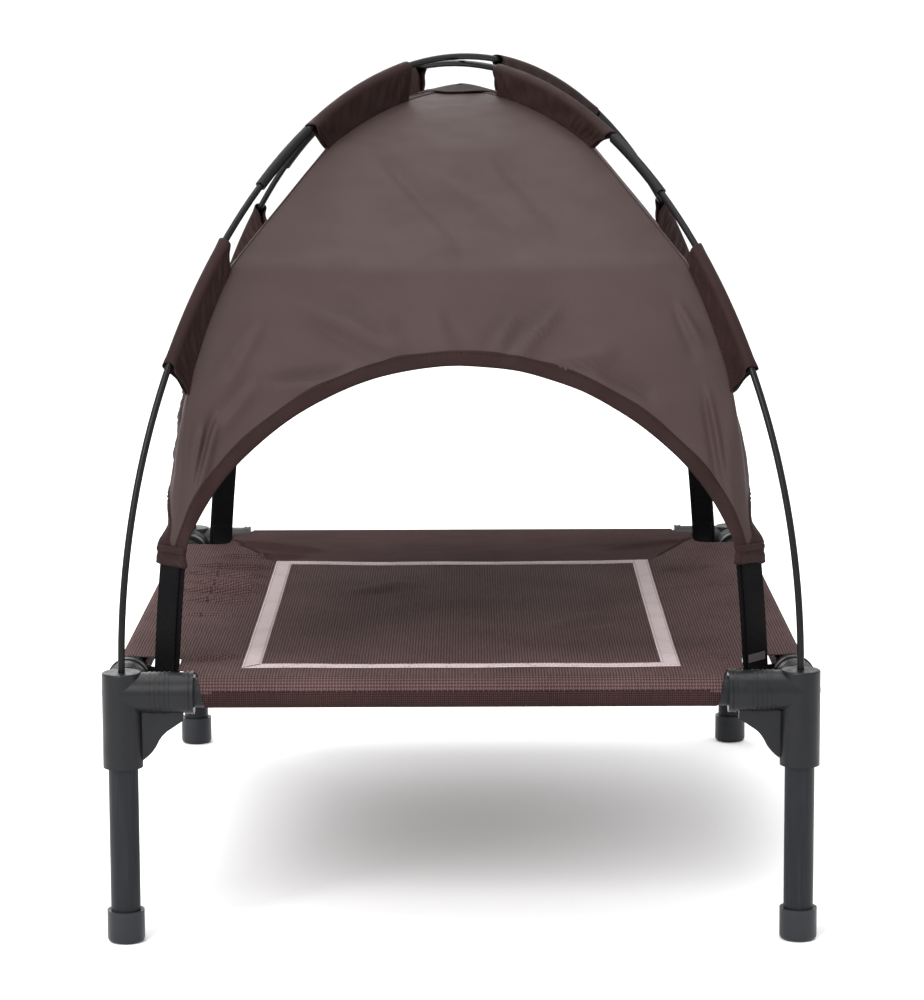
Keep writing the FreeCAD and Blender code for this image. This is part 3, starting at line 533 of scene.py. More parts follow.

# Folds drawn one by one: from (across, up), to (across, up), width and height, in millimetres and
# before the two factors below.
FOLDS = {
    "front": [
        (-98, 400, -34, 371, 6.5, 2.6), (-74, 414, -42, 390, 6, 1.6), (-120, 356, -72, 361, 5, -2.6),
        (66, 403, 35, 369, 5, 2.3), (37, 399, 22, 373, 4.5, 1.5), (56, 367, 100, 371, 5.5, 2.1),
        (90, 361, 124, 346, 5, -2.2), (142, 402, 158, 374, 5, 1.4), (-132, 352, -160, 318, 6, 1.4),
        (-156, 332, -173, 266, 4, 2.9), (-166, 326, -178, 258, 3.5, 2.3), (160, 346, 175, 270, 4, 2.4),
        (171, 326, 179, 258, 3.5, 2.0), (-56, 500, 8, 438, 8, -1.5), (-12, 482, 46, 446, 9, 1.3),
        (20, 500, 70, 450, 9, -1.0), (-128, 392, -150, 352, 6, 1.0), (-10, 400, 4, 374, 7, -0.8),
    ],
    "rear": [
        (90, 402, 30, 372, 7, 1.7), (118, 352, 74, 362, 5, -1.5), (-60, 404, -32, 370, 5.5, 1.5),
        (-96, 362, -54, 368, 5.5, 1.3), (158, 328, 175, 262, 4.5, 1.8), (-160, 340, -176, 264, 4.5, 1.6),
        (50, 496, -10, 440, 15, 1.3), (-30, 488, -64, 446, 12, -1.0), (134, 396, 152, 350, 6, 0.9),
    ],
    "left": [
        (-140, 398, -64, 372, 7, 1.9), (-180, 366, -120, 362, 5.5, -1.6), (96, 404, 44, 371, 6, 1.6),
        (150, 362, 190, 348, 6, -1.6), (60, 496, -40, 436, 16, 1.4), (-226, 330, -244, 262, 4.5, 1.9),
        (222, 336, 242, 262, 4.5, 1.7), (-30, 410, -12, 376, 6, 1.0), (180, 404, 206, 362, 7, 1.0),
    ],
    "right": [
        (130, 400, 58, 371, 7, 1.8), (184, 364, 118, 363, 5.5, -1.6), (-100, 406, -46, 371, 6, 1.7),
        (-160, 358, -200, 344, 6, -1.5), (-70, 498, 30, 438, 16, 1.3), (224, 332, 243, 262, 4.5, 1.8),
        (-224, 334, -243, 264, 4.5, 1.8), (14, 408, 4, 376, 6, 1.0), (-186, 402, -210, 362, 7, 1.0),
    ],
}
FOLD_SLIMNESS = 0.8
FOLD_HEIGHT = 1.5
SLACK = 5 * MM                      # how far the cloth hollows midway between two seams
LEG_TOP, LEG_LOW = 358 * MM, 262 * MM
LEG_BULGE = {"front": 0.8 * MM, "rear": 0.8 * MM, "left": 13 * MM, "right": 5 * MM}


def fold(across, up, row, factor):
    """A soft ridge with a shallow valley on one side, fading towards both ends."""
    start, end = np.array(row[:2]) * MM, np.array(row[2:4]) * MM
    width, height = row[4], factor * row[5]
    length = np.linalg.norm(end - start)
    ahead = (end - start) / length
    along = ((across - start[0]) * ahead[0] + (up - start[1]) * ahead[1]) / length
    off = (across - start[0]) * ahead[1] - (up - start[1]) * ahead[0]
    fade = smooth((along + 0.15) / 0.4) * smooth((1.12 - along) / 0.3)
    width = FOLD_SLIMNESS * width * MM * (0.65 + 0.5 * np.clip(along, 0, 1))
    return height * MM * fade * (bump(off, width) - 0.55 * bump(off - 1.5 * width, width))


def canopy_relief(name, across, up, distance, seam_gap):
    """How far the slack and folds lift the cloth off its plain drawn shape."""
    panel = PANELS[name]
    share = across / (np.abs(across) + seam_gap + MM)
    edge = panel.edge_distance(across, up)
    phase = 1.7 * QUARTERS[name]
    lift = -SLACK * (1 - share ** 2) * smooth(distance / 0.22)
    lift = lift + 1.6 * MM * bump(up - CREASE_Z, 8 * MM) * np.abs(share) ** 0.5
    lift = lift + 0.7 * MM * np.sin(across * 52 + up * 31 + phase) * np.sin(up * 44 - across * 9 + phase)
    lift = lift + 0.35 * MM * np.sin(across * 96 - up * 71 + 2 * phase) * np.sin(up * 83 + across * 37)
    ruffle = np.sin((np.abs(across) - up) * 95 + across * 25 + phase)
    lift = lift + 0.7 * MM * np.exp(-edge / (13 * MM)) * ruffle
    held = 0.3 + 0.7 * smooth(edge / (15 * MM))
    for row in FOLDS[name]:
        lift = lift + held * fold(across, up, row, FOLD_HEIGHT)
    lift = lift * smooth(seam_gap / (22 * MM)) * smooth(distance / (50 * MM))
    leg = smooth((LEG_TOP - up) / (14 * MM)) * np.clip((up - LEG_LOW) / (80 * MM), 0, 1)
    notch = 1 - 0.25 * bump(up - 298 * MM, 3 * MM)
    return lift + LEG_BULGE[name] * leg * notch * np.exp(-edge / (20 * MM)) * smooth(seam_gap / (5 * MM))


def canopy_points(name, across, distance, proud=0.0):
    """Points on the hanging cloth of one panel, or proud of it."""
    panel = PANELS[name]
    reach, up, slope = seam_line(distance)
    seam_gap = np.clip(panel.half * reach - np.abs(across), 0, None)
    lift = canopy_relief(name, across, up, distance, seam_gap) + proud
    size = np.hypot(np.sin(slope), panel.out * np.cos(slope))
    out = panel.out * reach + lift * np.sin(slope) / size
    rounding = (2 + 14 * smooth((345 * MM - up) / (75 * MM))) * MM
    pull = 0.25 * rounding * np.clip(1 - seam_gap / rounding, 0, None) ** 2
    height = up + lift * panel.out * np.cos(slope) / size
    across = across - np.sign(across) * pull
    out = out - pull
    turn = QUARTERS[name] * math.pi / 2
    x = across * math.cos(turn) + out * math.sin(turn)
    y = across * math.sin(turn) - out * math.cos(turn)
    # Towards its tip each leg of the cloth is drawn flat, to be sewn across the strap.
    right, back = np.where(x > 0, 1, -1), np.where(y > 0, 1, -1)
    side = np.sign(back * ALONG * -x + right * ACROSS * y)
    slid = side * seam_gap * (HEM_HALF - 1.5 * MM) / panel.leg
    flat_reach = HEM_REACH + proud
    drawn = smooth((TIP_Z + 16 * MM - up) / (18 * MM))
    x = x + drawn * (right * ACROSS * flat_reach - back * ALONG * slid - x)
    y = y + drawn * (back * ALONG * flat_reach + right * ACROSS * slid - y)
    return np.stack([x, y, height], -1)


def canopy_panel(name, rows=92, step=3.6 * MM):
    """Grid of one panel: columns run from the crown to the arch or to the tip."""
    panel = PANELS[name]
    across, up = panel.arch(panel.edge_turns(step))
    tip = np.linspace(across[-1], panel.half * END_REACH, 6)[1:]
    across = np.concatenate([across, tip])
    up = np.concatenate([up, np.full(len(tip), CLOTH_END)])
    across = mirrored(across, -1)
    up = mirrored(up, 1)
    bottom = seam_distance(up)
    share = across / (panel.half * seam_line(bottom)[0])
    distance = bottom * np.linspace(0, 1, rows)[:, None]
    spread = share * panel.half * seam_line(distance)[0]
    flat = np.stack([spread + 2 * QUARTERS[name], distance], -1)
    return canopy_points(name, spread, distance), flat


def canopy_sheet():
    grids = [canopy_panel(name) for name in PANELS]
    sheet = build("canopy_cloth", grids, [CANOPY], thickness=CLOTH_THICKNESS)
    return fitted(sheet, "canopy", "canopy_cloth", *["canopy_" + name for name in PANELS])


# Section of the folded tape: how far in from the edge, as a share of BINDING_WIDTH, and how far
# proud of the cloth, in millimetres.
BINDING_SECTION = np.array([
    (1, -0.4), (0.985, 0.45), (0.9, 0.72), (0.6, 0.8), (0.3, 0.78), (0.04, 0.72), (-0.05, 0.35),
    (-0.08, -0.45), (-0.05, -1.25), (0.04, -1.6), (0.3, -1.68), (0.6, -1.7), (0.9, -1.62), (0.985, -1.35),
    (1, -0.4),
])
BINDING_WIDTH = 9 * MM


def arch_binding(name):
    """Tape folded over an opening's edge, from one tip to the other."""
    panel = PANELS[name]
    turns = panel.whole_edge()
    pucker = 1 + 0.28 * np.sin(np.abs(turns) * panel.radius / (2.3 * MM)) * bump(np.sin(turns * 7), 0.9)
    grow = BINDING_SECTION[:, 0] * (BINDING_WIDTH + 0.35 * MM * np.sin(turns * 23)[:, None])
    proud = BINDING_SECTION[:, 1] * MM * pucker[:, None]
    points = canopy_points(name, *panel.off_edge(turns[:, None], grow), proud)
    binding = build("arch_binding_" + name, [(points, ring_flat(points))], [TRIM], closed=True)
    return fitted(binding, "canopy", "canopy_trim", "binding_" + name)


def binding_stitch_line(name):
    panel = PANELS[name]
    return canopy_points(name, *panel.off_edge(panel.whole_edge(), 7.6 * MM), 0.85 * MM)


def corner_axes(corner):
    """Unit vectors of a corner: out along the diagonal, and sideways."""
    right, back = CORNERS[corner]
    return np.array([right * ACROSS, back * ALONG, 0]), np.array([-back * ALONG, right * ACROSS, 0])


def in_corner(corner, reach, sideways, up):
    """Point in a corner's own frame, as (x, y, z)."""
    outward, side = corner_axes(corner)
    reach, sideways, up = np.broadcast_arrays(reach, sideways, up)
    return reach[..., None] * outward + sideways[..., None] * side + up[..., None] * UP


def seam_piping(corner):
    """Welt of folded cloth sewn into the seam, from the crown to the end of the side sleeve."""
    distance = np.linspace(30 * MM, sleeve_seam(corner, "side")[1], 120)
    reach, up, slope = seam_line(distance)
    sunk = 0.7 * MM
    proud = 0.2 * MM
    line = in_corner(corner, reach - sunk + proud * np.sin(slope), 0, up + proud * np.cos(slope))
    return along_line(line, round_section(0.6 * MM), corner_axes(corner)[1])


def crown_patch():
    """Round reinforcing patch over the crown, standing up a little where it is slack."""
    radius = 29 * MM
    ring = np.linspace(0, 1, 16)[:, None]
    turn = np.linspace(0, 2 * math.pi, 73)[None, :]
    spread = radius * ring * (1 + 0.02 * np.sin(9 * turn) * ring ** 3)
    x = spread * np.cos(turn)
    y = spread * np.sin(turn)
    reach = np.maximum(np.abs(x) / ACROSS, np.abs(y) / ALONG)
    cloth = UPPER_MIDDLE + np.sqrt(UPPER_RADIUS ** 2 - reach ** 2)
    slack = 2.4 * MM * (1 - ring ** 2) ** 2 * (1 + 0.3 * np.sin(turn + 0.6))
    rim = 0.6 * MM * ring ** 4 * bump(np.sin(2.5 * turn), 0.5)
    z = cloth + 1.0 * MM + slack + rim
    points = np.stack([x, y, z], -1)
    patch = build("crown_patch_cloth", [(points, np.stack([x, y], -1))], [TRIM], thickness=0.7 * MM)
    patch.data.flip_normals()
    return fitted(patch, "canopy", "canopy_cloth", "crown_patch")


# -------------------- sleeves on the poles

def pole_point(rise, turn):
    """Reach and height of a pole's middle line, where it has turned that far from level."""
    sine, cosine = math.sin(POLE_TOP_TURN), math.cos(POLE_TOP_TURN)
    share = sine + cosine - 1
    top = (HALF_DIAGONAL * cosine - rise * (1 - sine)) / share
    side = (rise * sine - HALF_DIAGONAL * (1 - cosine)) / share
    on_top = turn <= POLE_TOP_TURN
    reach = np.where(on_top, top * np.sin(turn), HALF_DIAGONAL - side + side * np.sin(turn))
    up = np.where(on_top, BED_TOP + rise - top + top * np.cos(turn), BED_TOP + side * np.cos(turn))
    return reach, up


WRAP_RADIUS = 4.0 * MM
WRAP_SHARE = 0.3                    # how much of a sleeve's loop lies round the pole
SEAM_HALF = 0.9 * MM                # half the gap between a sleeve's faces where it is sewn


def sleeve(corner, turns, seam, seed):
    """Cloth wrapped over the pole and closed down to the seam, as one grid."""
    rows, columns = 90, 45
    share = np.linspace(0, 1, rows)
    turned = np.radians(turns[0]) + share * math.radians(turns[1] - turns[0])
    pole_reach, pole_up = pole_point(RISE[corner], turned)
    seam_reach, seam_up, _ = seam_line(seam[0] + share * (seam[1] - seam[0]))
    foot = np.stack([seam_reach, seam_up], 1)
    top = np.stack([pole_reach, pole_up], 1)
    rise = np.linalg.norm(top - foot, axis=1, keepdims=True)
    upward = (top - foot) / rise
    foot = foot - SEAM_HALF * upward
    loop = np.linspace(-1, 1, columns)
    over = np.abs(loop) < WRAP_SHARE
    turn = loop / WRAP_SHARE * math.pi / 2
    climb = np.clip((1 - np.abs(loop)) / (1 - WRAP_SHARE), 0, 1)
    face = SEAM_HALF + (WRAP_RADIUS - SEAM_HALF) * climb ** 1.6
    half = np.where(over, WRAP_RADIUS * np.sin(turn), np.sign(loop) * face)
    level = np.where(over, rise + WRAP_RADIUS * np.cos(turn), rise * climb)
    slack = np.sin(share * 23 + seed)[:, None] * np.sin(climb * 3.2 + share[:, None] * 5 + seed)
    slack = slack + 0.6 * np.sin(share[:, None] * 61 + climb * 4 + 2 * seed)
    near_ends = bump(share, 0.25) + bump(share - 1, 0.25)
    pleats = np.sin(share * 150 + 3 * np.sin(share * 9 + seed))[:, None] * near_ends[:, None]
    half = half + np.sign(loop) * MM * (slack + 0.8 * pleats) * np.sin(math.pi * climb) * ~over
    flare = 1.3 * MM * (bump(share, 0.05) + bump(share - 1, 0.05))[:, None] * climb
    half = half + np.sign(loop) * flare * 0.6
    ragged = 0.8 * MM * np.sin(loop * 9 + seed) * (bump(share, 0.04) - bump(share - 1, 0.04))[:, None]
    along = np.stack([upward[:, 1], -upward[:, 0]], 1)
    place = foot[:, None] + upward[:, None] * level[..., None] + along[:, None] * ragged[..., None]
    points = in_corner(corner, place[..., 0], half, place[..., 1])
    return points, ring_flat(points)


# Sleeves: the pole's turn from level where they start and end, in degrees, then their seam's ends:
# reach for a top sleeve and height for a side one.
SLEEVES = {"top": ((7.6, 29.3), (45 * MM, 150 * MM)), "side": ((46.5, 60.5), (424 * MM, 348 * MM))}
SLID_SLEEVE = ((10.4, 29.3), (60 * MM, 150 * MM))


def sleeve_ends(corner, place):
    """Pole turns and seam places of a sleeve; one top sleeve has slid down its pole."""
    slid = corner == "front_left" and place == "top"
    return SLID_SLEEVE if slid else SLEEVES[place]


def sleeve_seam(corner, place):
    """How far from the crown a sleeve's sewn edge starts and ends."""
    near, far = sleeve_ends(corner, place)[1]
    if place == "top":
        return UPPER_RADIUS * math.asin(near / UPPER_RADIUS), UPPER_RADIUS * math.asin(far / UPPER_RADIUS)
    return float(seam_distance(np.array(near))), float(seam_distance(np.array(far)))


def sleeve_grids(corner):
    """The grids of a corner's two sleeves. The seed gives each its own wrinkles."""
    seed = 2.0 * list(CORNERS).index(corner)
    return [sleeve(corner, sleeve_ends(corner, place)[0], sleeve_seam(corner, place), seed + number)
            for number, place in enumerate(SLEEVES)]


def sleeve_stitch_lines(corner):
    """Lines of stitching on both faces of each sleeve, just over the seam."""
    column, proud = 2, 0.5 * MM
    side = corner_axes(corner)[1]
    lines = []
    for points, _ in sleeve_grids(corner):
        lines.append(points[3:-3, column] - side * proud)
        lines.append(points[3:-3, -1 - column] + side * proud)
    return lines


def corner_sleeves(corner):
    grids = sleeve_grids(corner)
    both = build("pole_sleeves_" + corner, grids, [TRIM], thickness=0.8 * MM, inward=0.0)
    return fitted(both, "canopy", "canopy_trim", "sleeves_" + corner)


# -------------------- hems and straps

def corner_hem(corner, seed):
    """Hem folded over the end of the cloth: pinched at its stitching, with a flared lower edge."""
    turn = np.linspace(0, 2 * math.pi, 57)
    levels = np.linspace(0, 1, 13)[:, None]
    top = TIP_Z + 1.5 * MM
    wide = np.sign(np.cos(turn)) * np.abs(np.cos(turn)) ** 0.45
    deep = np.sign(np.sin(turn)) * np.abs(np.sin(turn)) ** 0.6
    pinch = bump(levels - 0.62, 0.1)
    shrink = 1 - 0.75 * bump(levels, 0.035) - 0.45 * bump(levels - 1, 0.035)
    half = HEM_HALF * (1.03 - 0.05 * levels - 0.03 * pinch + 0.05 * bump(levels, 0.25))
    depth = (2.5 - 0.7 * pinch + 0.5 * np.sin(turn * 3 + seed) * (1 - levels)) * MM
    crumple = 0.35 * MM * np.sin(wide * 9 + levels * 6 + seed) * np.sin(levels * 9)
    sideways = half * wide * (0.8 + 0.2 * shrink)
    reach = HEM_REACH + (depth * shrink) * deep + crumple
    droop = 1.6 * MM * (1 - levels) * np.clip(wide, 0, 1) ** 6
    points = in_corner(corner, reach, sideways, HEM_LOW + (top - HEM_LOW) * levels - droop)
    hem = build("corner_hem_" + corner, [(points, ring_flat(points))], [TRIM], closed=True)
    return fitted(hem, "canopy", "canopy_trim", "hem_" + corner)


def hem_stitch_line(corner, level):
    sideways = np.linspace(-0.92, 0.92, 12) * HEM_HALF
    return in_corner(corner, HEM_REACH + 2.2 * MM, sideways, HEM_LOW + level)


def strap_line(corner, proud, low, high):
    """Middle line of a strap: it leans towards the side rail and bows a little."""
    right, back = CORNERS[corner]
    up = np.linspace(high, low, 40)
    share = (TIP_Z - up) / (TIP_Z - STRAP_LOW)
    bow = 0.9 * MM * np.sin(math.pi * np.clip(share, 0, 1))
    return in_corner(corner, STRAP_REACH + bow + proud, -right * back * STRAP_LEAN * share, up)


def strap(corner):
    """Webbing strap doubled back on itself; the second layer is a little narrower."""
    right, back = CORNERS[corner]
    side = corner_axes(corner)[1]
    inner = right * back
    main = strap_line(corner, 0, STRAP_LOW, TIP_Z - 3 * MM)
    over = strap_line(corner, 1.5 * MM, STRAP_LOW + 6 * MM, TIP_Z - 6 * MM) - side * inner * 1.4 * MM
    layers = [along_line(main, flat_section(STRAP_HALF, 0.7 * MM), side),
              along_line(over, flat_section(STRAP_HALF - 1.6 * MM, 0.6 * MM), side)]
    webbing = build("webbing_strap_" + corner, layers, [WEBBING], closed=True)
    fitted(webbing, "canopy", "webbing", "strap_" + corner)


def strap_label():
    """Blank woven label sewn on one strap."""
    corner = "front_right"
    line = strap_line(corner, 2.5 * MM, STRAP_LOW + 15 * MM, STRAP_LOW + 20 * MM)
    grid = along_line(line, flat_section(7 * MM, 0.3 * MM), corner_axes(corner)[1])
    fitted(build("strap_label", [grid], [LABEL], closed=True), "canopy", "webbing")


def cinch_loop(corner):
    """Loop of webbing round the side rail, with the tab that takes the strap."""
    right, back = CORNERS[corner]
    side = corner_axes(corner)[1]
    low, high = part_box("cinch_loop_" + corner)
    ring_y = back * (LEG_Y - 56 * MM)
    turn = np.linspace(0, 2 * math.pi, 49)
    section = flat_section(STRAP_HALF - 0.3 * MM, 0.65 * MM)
    section = np.concatenate([section, section[:1]])
    radius = 10.6 * MM + section[None, :, 1] + 0.15 * MM * np.sin(5 * turn)[:, None]
    ring = np.stack([right * LEG_X + radius * np.sin(turn)[:, None],
                     ring_y + section[None, :, 0] + 0 * radius,
                     RAIL_Z + radius * np.cos(turn)[:, None]], -1)
    outward = -right * back
    reach = STRAP_REACH - 1.9 * MM
    up = np.linspace(high.z, low.z + 4 * MM, 12)
    tab = in_corner(corner, reach, outward * 7.5 * MM + 0 * up, up)
    over = np.linspace(0, 27 * MM, 14)
    link = in_corner(corner, reach, outward * over, RAIL_Z - 1 * MM + 0 * over)
    grids = [
        (ring, ring_flat(ring)),
        along_line(tab, flat_section(8.5 * MM, 0.7 * MM), side),
        along_line(link, flat_section(6.5 * MM, 0.7 * MM), UP),
    ]
    loop = build("rail_loop_" + corner, grids, [WEBBING], closed=True)
    fitted(loop, "bed", "webbing", "cinch_loop_" + corner)


# -------------------- deck

ROLL = ROLL_RADIUS - 0.15 * MM
ROLL_LENGTH = ROLL * 1.5 * math.pi + 8 * MM
HEM_TURN = math.radians(84)        # how far round the rail the upper layer is stitched down
LAYER_STEP = 0.7 * MM
DECK_THICKNESS = 0.8 * MM
NOTCH_RADIUS = 11 * MM
NOTCH_MIDDLE = (LEG_X - 33.5 * MM + NOTCH_RADIUS, LEG_Y - 55 * MM)
SPLIT_FRONT = TAPE_HIGH.y - TAPE_WIDTH / 2
SPLIT_END = (LEG_X - 33.8 * MM, LEG_Y - 45 * MM)

ROLL_ROWS = 26                     # rows of a grid where it goes round a rail

# Wrinkles of the deck, set out in the same way, with along for up.
WRINKLES = [
    (-205, 96, -146, 84, 5, 1.1), (-200, 62, -147, 44, 5, 1.2), (-204, 28, -148, 14, 5.5, 1.2),
    (-198, -12, -150, -22, 5, 1.0), (-200, 128, -144, 124, 6, 1.0), (-190, 168, -120, 176, 7, 0.9),
    (-196, -70, -152, -74, 6, 0.6), (196, 118, 146, 104, 6, 0.7), (200, 40, 152, 34, 6, 0.5),
    (-176, 232, -110, 196, 7, 1.3), (176, 232, 112, 200, 8, 1.2), (176, -240, 148, -222, 6, 0.8),
    (-176, -240, -148, -220, 6, 0.9), (60, -120, 96, -70, 16, 0.6), (-80, 20, -40, 66, 16, 0.6),
]
WRINKLE_HEIGHT = 2.6


def rolled(beyond):
    """Cloth that passes over a rail: where it lies out from and up from the rail's middle."""
    turn = beyond / ROLL
    step = LAYER_STEP * (1 - smooth((turn - HEM_TURN) / 0.07))
    radius = ROLL - LAYER_STEP + step
    straight = np.clip(turn, 0, 1.5 * math.pi)
    out = np.where(turn < 0, beyond, radius * np.sin(straight))
    up = np.where(turn < 0, ROLL, radius * np.cos(straight) + np.clip(beyond - 1.5 * math.pi * ROLL, 0, None))
    return out, up


def deck_points(across, along, proud=0.0):
    """Points of the deck's cloth, from its places when unrolled and flat."""
    side_out, side_up = rolled(np.abs(across) - LEG_X)
    end_out, end_up = rolled(np.abs(along) - LEG_Y)
    x = np.sign(across) * (LEG_X + side_out)
    y = np.sign(along) * (LEG_Y + end_out)
    level = np.minimum(side_up, end_up)
    room = np.clip(np.minimum(LEG_X - np.abs(across), LEG_Y - np.abs(along)), 0, None)
    sag = 3.2 * MM * (1 - (across / LEG_X) ** 2) * (1 - (along / LEG_Y) ** 2)
    lift = 0.25 * MM * np.sin(across * 61 + along * 17) * np.sin(along * 49 - across * 13)
    for row in WRINKLES:
        lift = lift + fold(across, along, row, WRINKLE_HEIGHT)
    lift = (lift - np.clip(sag, 0, None)) * smooth(room / (14 * MM))
    return np.stack([x, y, RAIL_Z + level + lift + proud], -1)


def outline_half(step=2.6 * MM):
    """Half of the deck's outline, unrolled: across from the middle, and how far it reaches along.
    It runs over the roll's end, in along its slanted side and round the notch to the side roll."""
    turn = np.linspace(math.pi, 1.5 * math.pi, 9)
    notch = NOTCH_MIDDLE + NOTCH_RADIUS * np.stack([np.cos(turn), np.sin(turn)], 1)
    corners = np.concatenate([
        [(0, LEG_Y + ROLL_LENGTH), (LEG_X - 58 * MM, LEG_Y + ROLL_LENGTH), (LEG_X - 46 * MM, LEG_Y - 14 * MM),
         (LEG_X - 34.5 * MM, LEG_Y - 20 * MM)],
        notch,
        [(LEG_X + ROLL_LENGTH, notch[-1, 1])],
    ])
    walked = walk(corners)
    wanted = np.unique(np.concatenate([walked, np.arange(0, walked[-1], step)]))
    return np.interp(wanted, walked, corners[:, 0]), np.interp(wanted, walked, corners[:, 1])


def split(across):
    """How far back the mesh reaches, where the rear band takes over."""
    share = (np.abs(across) - TAPE_HIGH.x) / (SPLIT_END[0] - TAPE_HIGH.x)
    return SPLIT_FRONT + np.clip(share, 0, 1) * (SPLIT_END[1] - SPLIT_FRONT)


def strip(across, near, far, roll_near, roll_far):
    """Grid between two edges, with rows crowded where either edge rolls round a rail."""
    bands = []
    inset = 6 * MM
    inner_near = np.where(near < 0, np.maximum(near + inset, -LEG_Y + inset), near)
    inner_far = np.where(far > 0, np.minimum(far - inset, LEG_Y - inset), far)
    if roll_near:
        bands.append((near, inner_near, ROLL_ROWS))
    start = inner_near if roll_near else near
    stop = inner_far if roll_far else far
    bands.append((start, stop, 190 if roll_near else 60))
    if roll_far:
        bands.append((inner_far, far, ROLL_ROWS))
    rows = [first + (last - first) * np.linspace(0, 1, count)[:, None] for first, last, count in bands]
    along = np.concatenate([rows[0]] + [row[1:] for row in rows[1:]])
    across = np.broadcast_to(across, along.shape)
    return deck_points(across, along), np.stack([across, along], -1)


def under_layer(places):
    """Whether faces get the second material: those past the upper layer's stitched-down edge."""
    limit = ROLL * HEM_TURN
    return (np.abs(places[:, 0]) > LEG_X + limit) | (np.abs(places[:, 1]) > LEG_Y + limit)


def deck_mesh():
    """Mesh sheet in three strips: the middle one stops where the rear band starts."""
    across, reach = outline_half()
    across, reach = mirrored(across, -1), mirrored(reach, 1)
    beside_band = np.abs(across) >= SPLIT_END[0]
    far = np.where(beside_band, reach, np.minimum(split(across), reach))
    first = np.argmax(~beside_band)
    last = len(across) - np.argmax(~beside_band[::-1])
    parts = slice(first + 1), slice(first, last), slice(last - 1, None)
    grids = [strip(across[part], -reach[part], far[part], True, False) for part in parts]
    mesh = build("deck_mesh", grids, [MESH, MESH_UNDER], thickness=DECK_THICKNESS, zone=under_layer)
    mesh.data.flip_normals()
    return fitted(mesh, "bed", "deck_mesh", "deck_panel", "deck_front", "deck_left", "deck_right")


def deck_band():
    across, reach = outline_half()
    keep = across <= SPLIT_END[0]
    across, reach = mirrored(across[keep], -1), mirrored(reach[keep], 1)
    near = np.minimum(split(across), reach - 1 * MM)
    grid = strip(across, near, reach, False, True)
    band = build("deck_rear_band", [grid], [BAND], thickness=DECK_THICKNESS)
    band.data.flip_normals()
    return fitted(band, "bed", "deck_band", "deck_rear")


def tape_ring_line(grow, count=96):
    """Rectangle of the tape grown by a width, with as many points on each side."""
    half_x = TAPE_HIGH.x - TAPE_WIDTH / 2 + grow
    front = TAPE_LOW.y + TAPE_WIDTH / 2 - grow
    rear = TAPE_HIGH.y - TAPE_WIDTH / 2 + grow
    corners = np.array([(-half_x, front), (half_x, front), (half_x, rear), (-half_x, rear), (-half_x, front)])
    share = np.linspace(0, 1, count, endpoint=False)[:, None]
    sides = [here + (there - here) * share for here, there in zip(corners[:-1], corners[1:])]
    return np.concatenate(sides + [corners[:1]])


def deck_tape():
    """Pale tape sewn round the middle of the deck, slightly puckered by its stitching."""
    widths = np.array([-0.5, -0.49, -0.42, -0.3, -0.1, 0.1, 0.3, 0.42, 0.49, 0.5]) * TAPE_WIDTH
    rises = np.array([0.02, 0.3, 0.5, 0.55, 0.55, 0.55, 0.55, 0.5, 0.3, 0.02]) * MM
    lines = np.stack([tape_ring_line(width) for width in widths], 1)
    walked = walk(lines[:, 4])
    pucker = 0.45 * MM * bump(np.sin(walked * math.pi / (26 * MM) + 0.5 * np.sin(walked * 9)), 0.16)
    rise = rises - pucker[:, None] * (rises > 0.4 * MM)
    points = deck_points(lines[..., 0], lines[..., 1], rise + 0.15 * MM)
    flat = np.stack(np.broadcast_arrays(widths, walked[:, None]), -1)
    tape = build("deck_tape_ring", [(points, flat)], [TAPE])
    return fitted(tape, "bed", "deck_tape", "deck_tape")


def tape_stitch_line(grow):
    line = tape_ring_line(grow)
    return deck_points(line[:, 0], line[:, 1], 0.72 * MM)


def split_stitch_lines():
    """Stitching beside the slanting seams between the mesh and the rear band."""
    across = np.linspace(TAPE_HIGH.x + 8 * MM, SPLIT_END[0] - 2 * MM, 20)
    return [deck_points(right * across, split(across) + gap, 0.2 * MM)
            for right in (-1, 1) for gap in (2 * MM, 6 * MM)]


def roll_stitch_lines():
    """Stitching that closes the deck's sleeves, on the outside of each rail."""
    beyond = ROLL * (HEM_TURN - math.radians(7))
    proud = 0.15 * MM
    across = np.linspace(-(LEG_X - 57 * MM), LEG_X - 57 * MM, 60)
    along = np.linspace(-(LEG_Y - 67 * MM), LEG_Y - 67 * MM, 80)
    ends = [deck_points(across, np.full(60, back * (LEG_Y + beyond))) + [0, back * proud, 0]
            for back in (-1, 1)]
    sides = [deck_points(np.full(80, right * (LEG_X + beyond)), along) + [right * proud, 0, 0]
             for right in (-1, 1)]
    return ends + sides


# -------------------- everything together

def make_canopy():
    sheet = canopy_sheet()
    pieces = [arch_binding(name) for name in PANELS]
    pieces.append(crown_patch())
    for seed, corner in enumerate(CORNERS):
        pieces += [corner_sleeves(corner), corner_hem(corner, 1.3 * seed)]
        strap(corner)
    piping = build("seam_piping", [seam_piping(corner) for corner in CORNERS], [CANOPY], closed=True)
    fitted(piping, "canopy", "canopy_cloth")
    rows = [binding_stitch_line(name) for name in PANELS]
    rows += [hem_stitch_line(corner, level) for corner in CORNERS for level in (5.2 * MM, 7.6 * MM)]
    rows += [line for corner in CORNERS for line in sleeve_stitch_lines(corner)]
    thread = stitches("canopy_stitches", rows, "canopy", "canopy_trim", THREAD_DARK)
    strap_label()


def make_deck():
    mesh = deck_mesh()
    band = deck_band()
    tape = deck_tape()
    for corner in CORNERS:
        cinch_loop(corner)
    rows = [tape_stitch_line(grow) for grow in (-4.6 * MM, 4.6 * MM)]
    pale = stitches("tape_stitches", rows, "bed", "deck_tape", THREAD_PALE,
                    pitch=3 * MM, length=2 * MM, radius=0.25 * MM)
    rows = roll_stitch_lines() + split_stitch_lines()
    dark = stitches("sleeve_stitches", rows, "bed", "deck_mesh", THREAD_DARK)


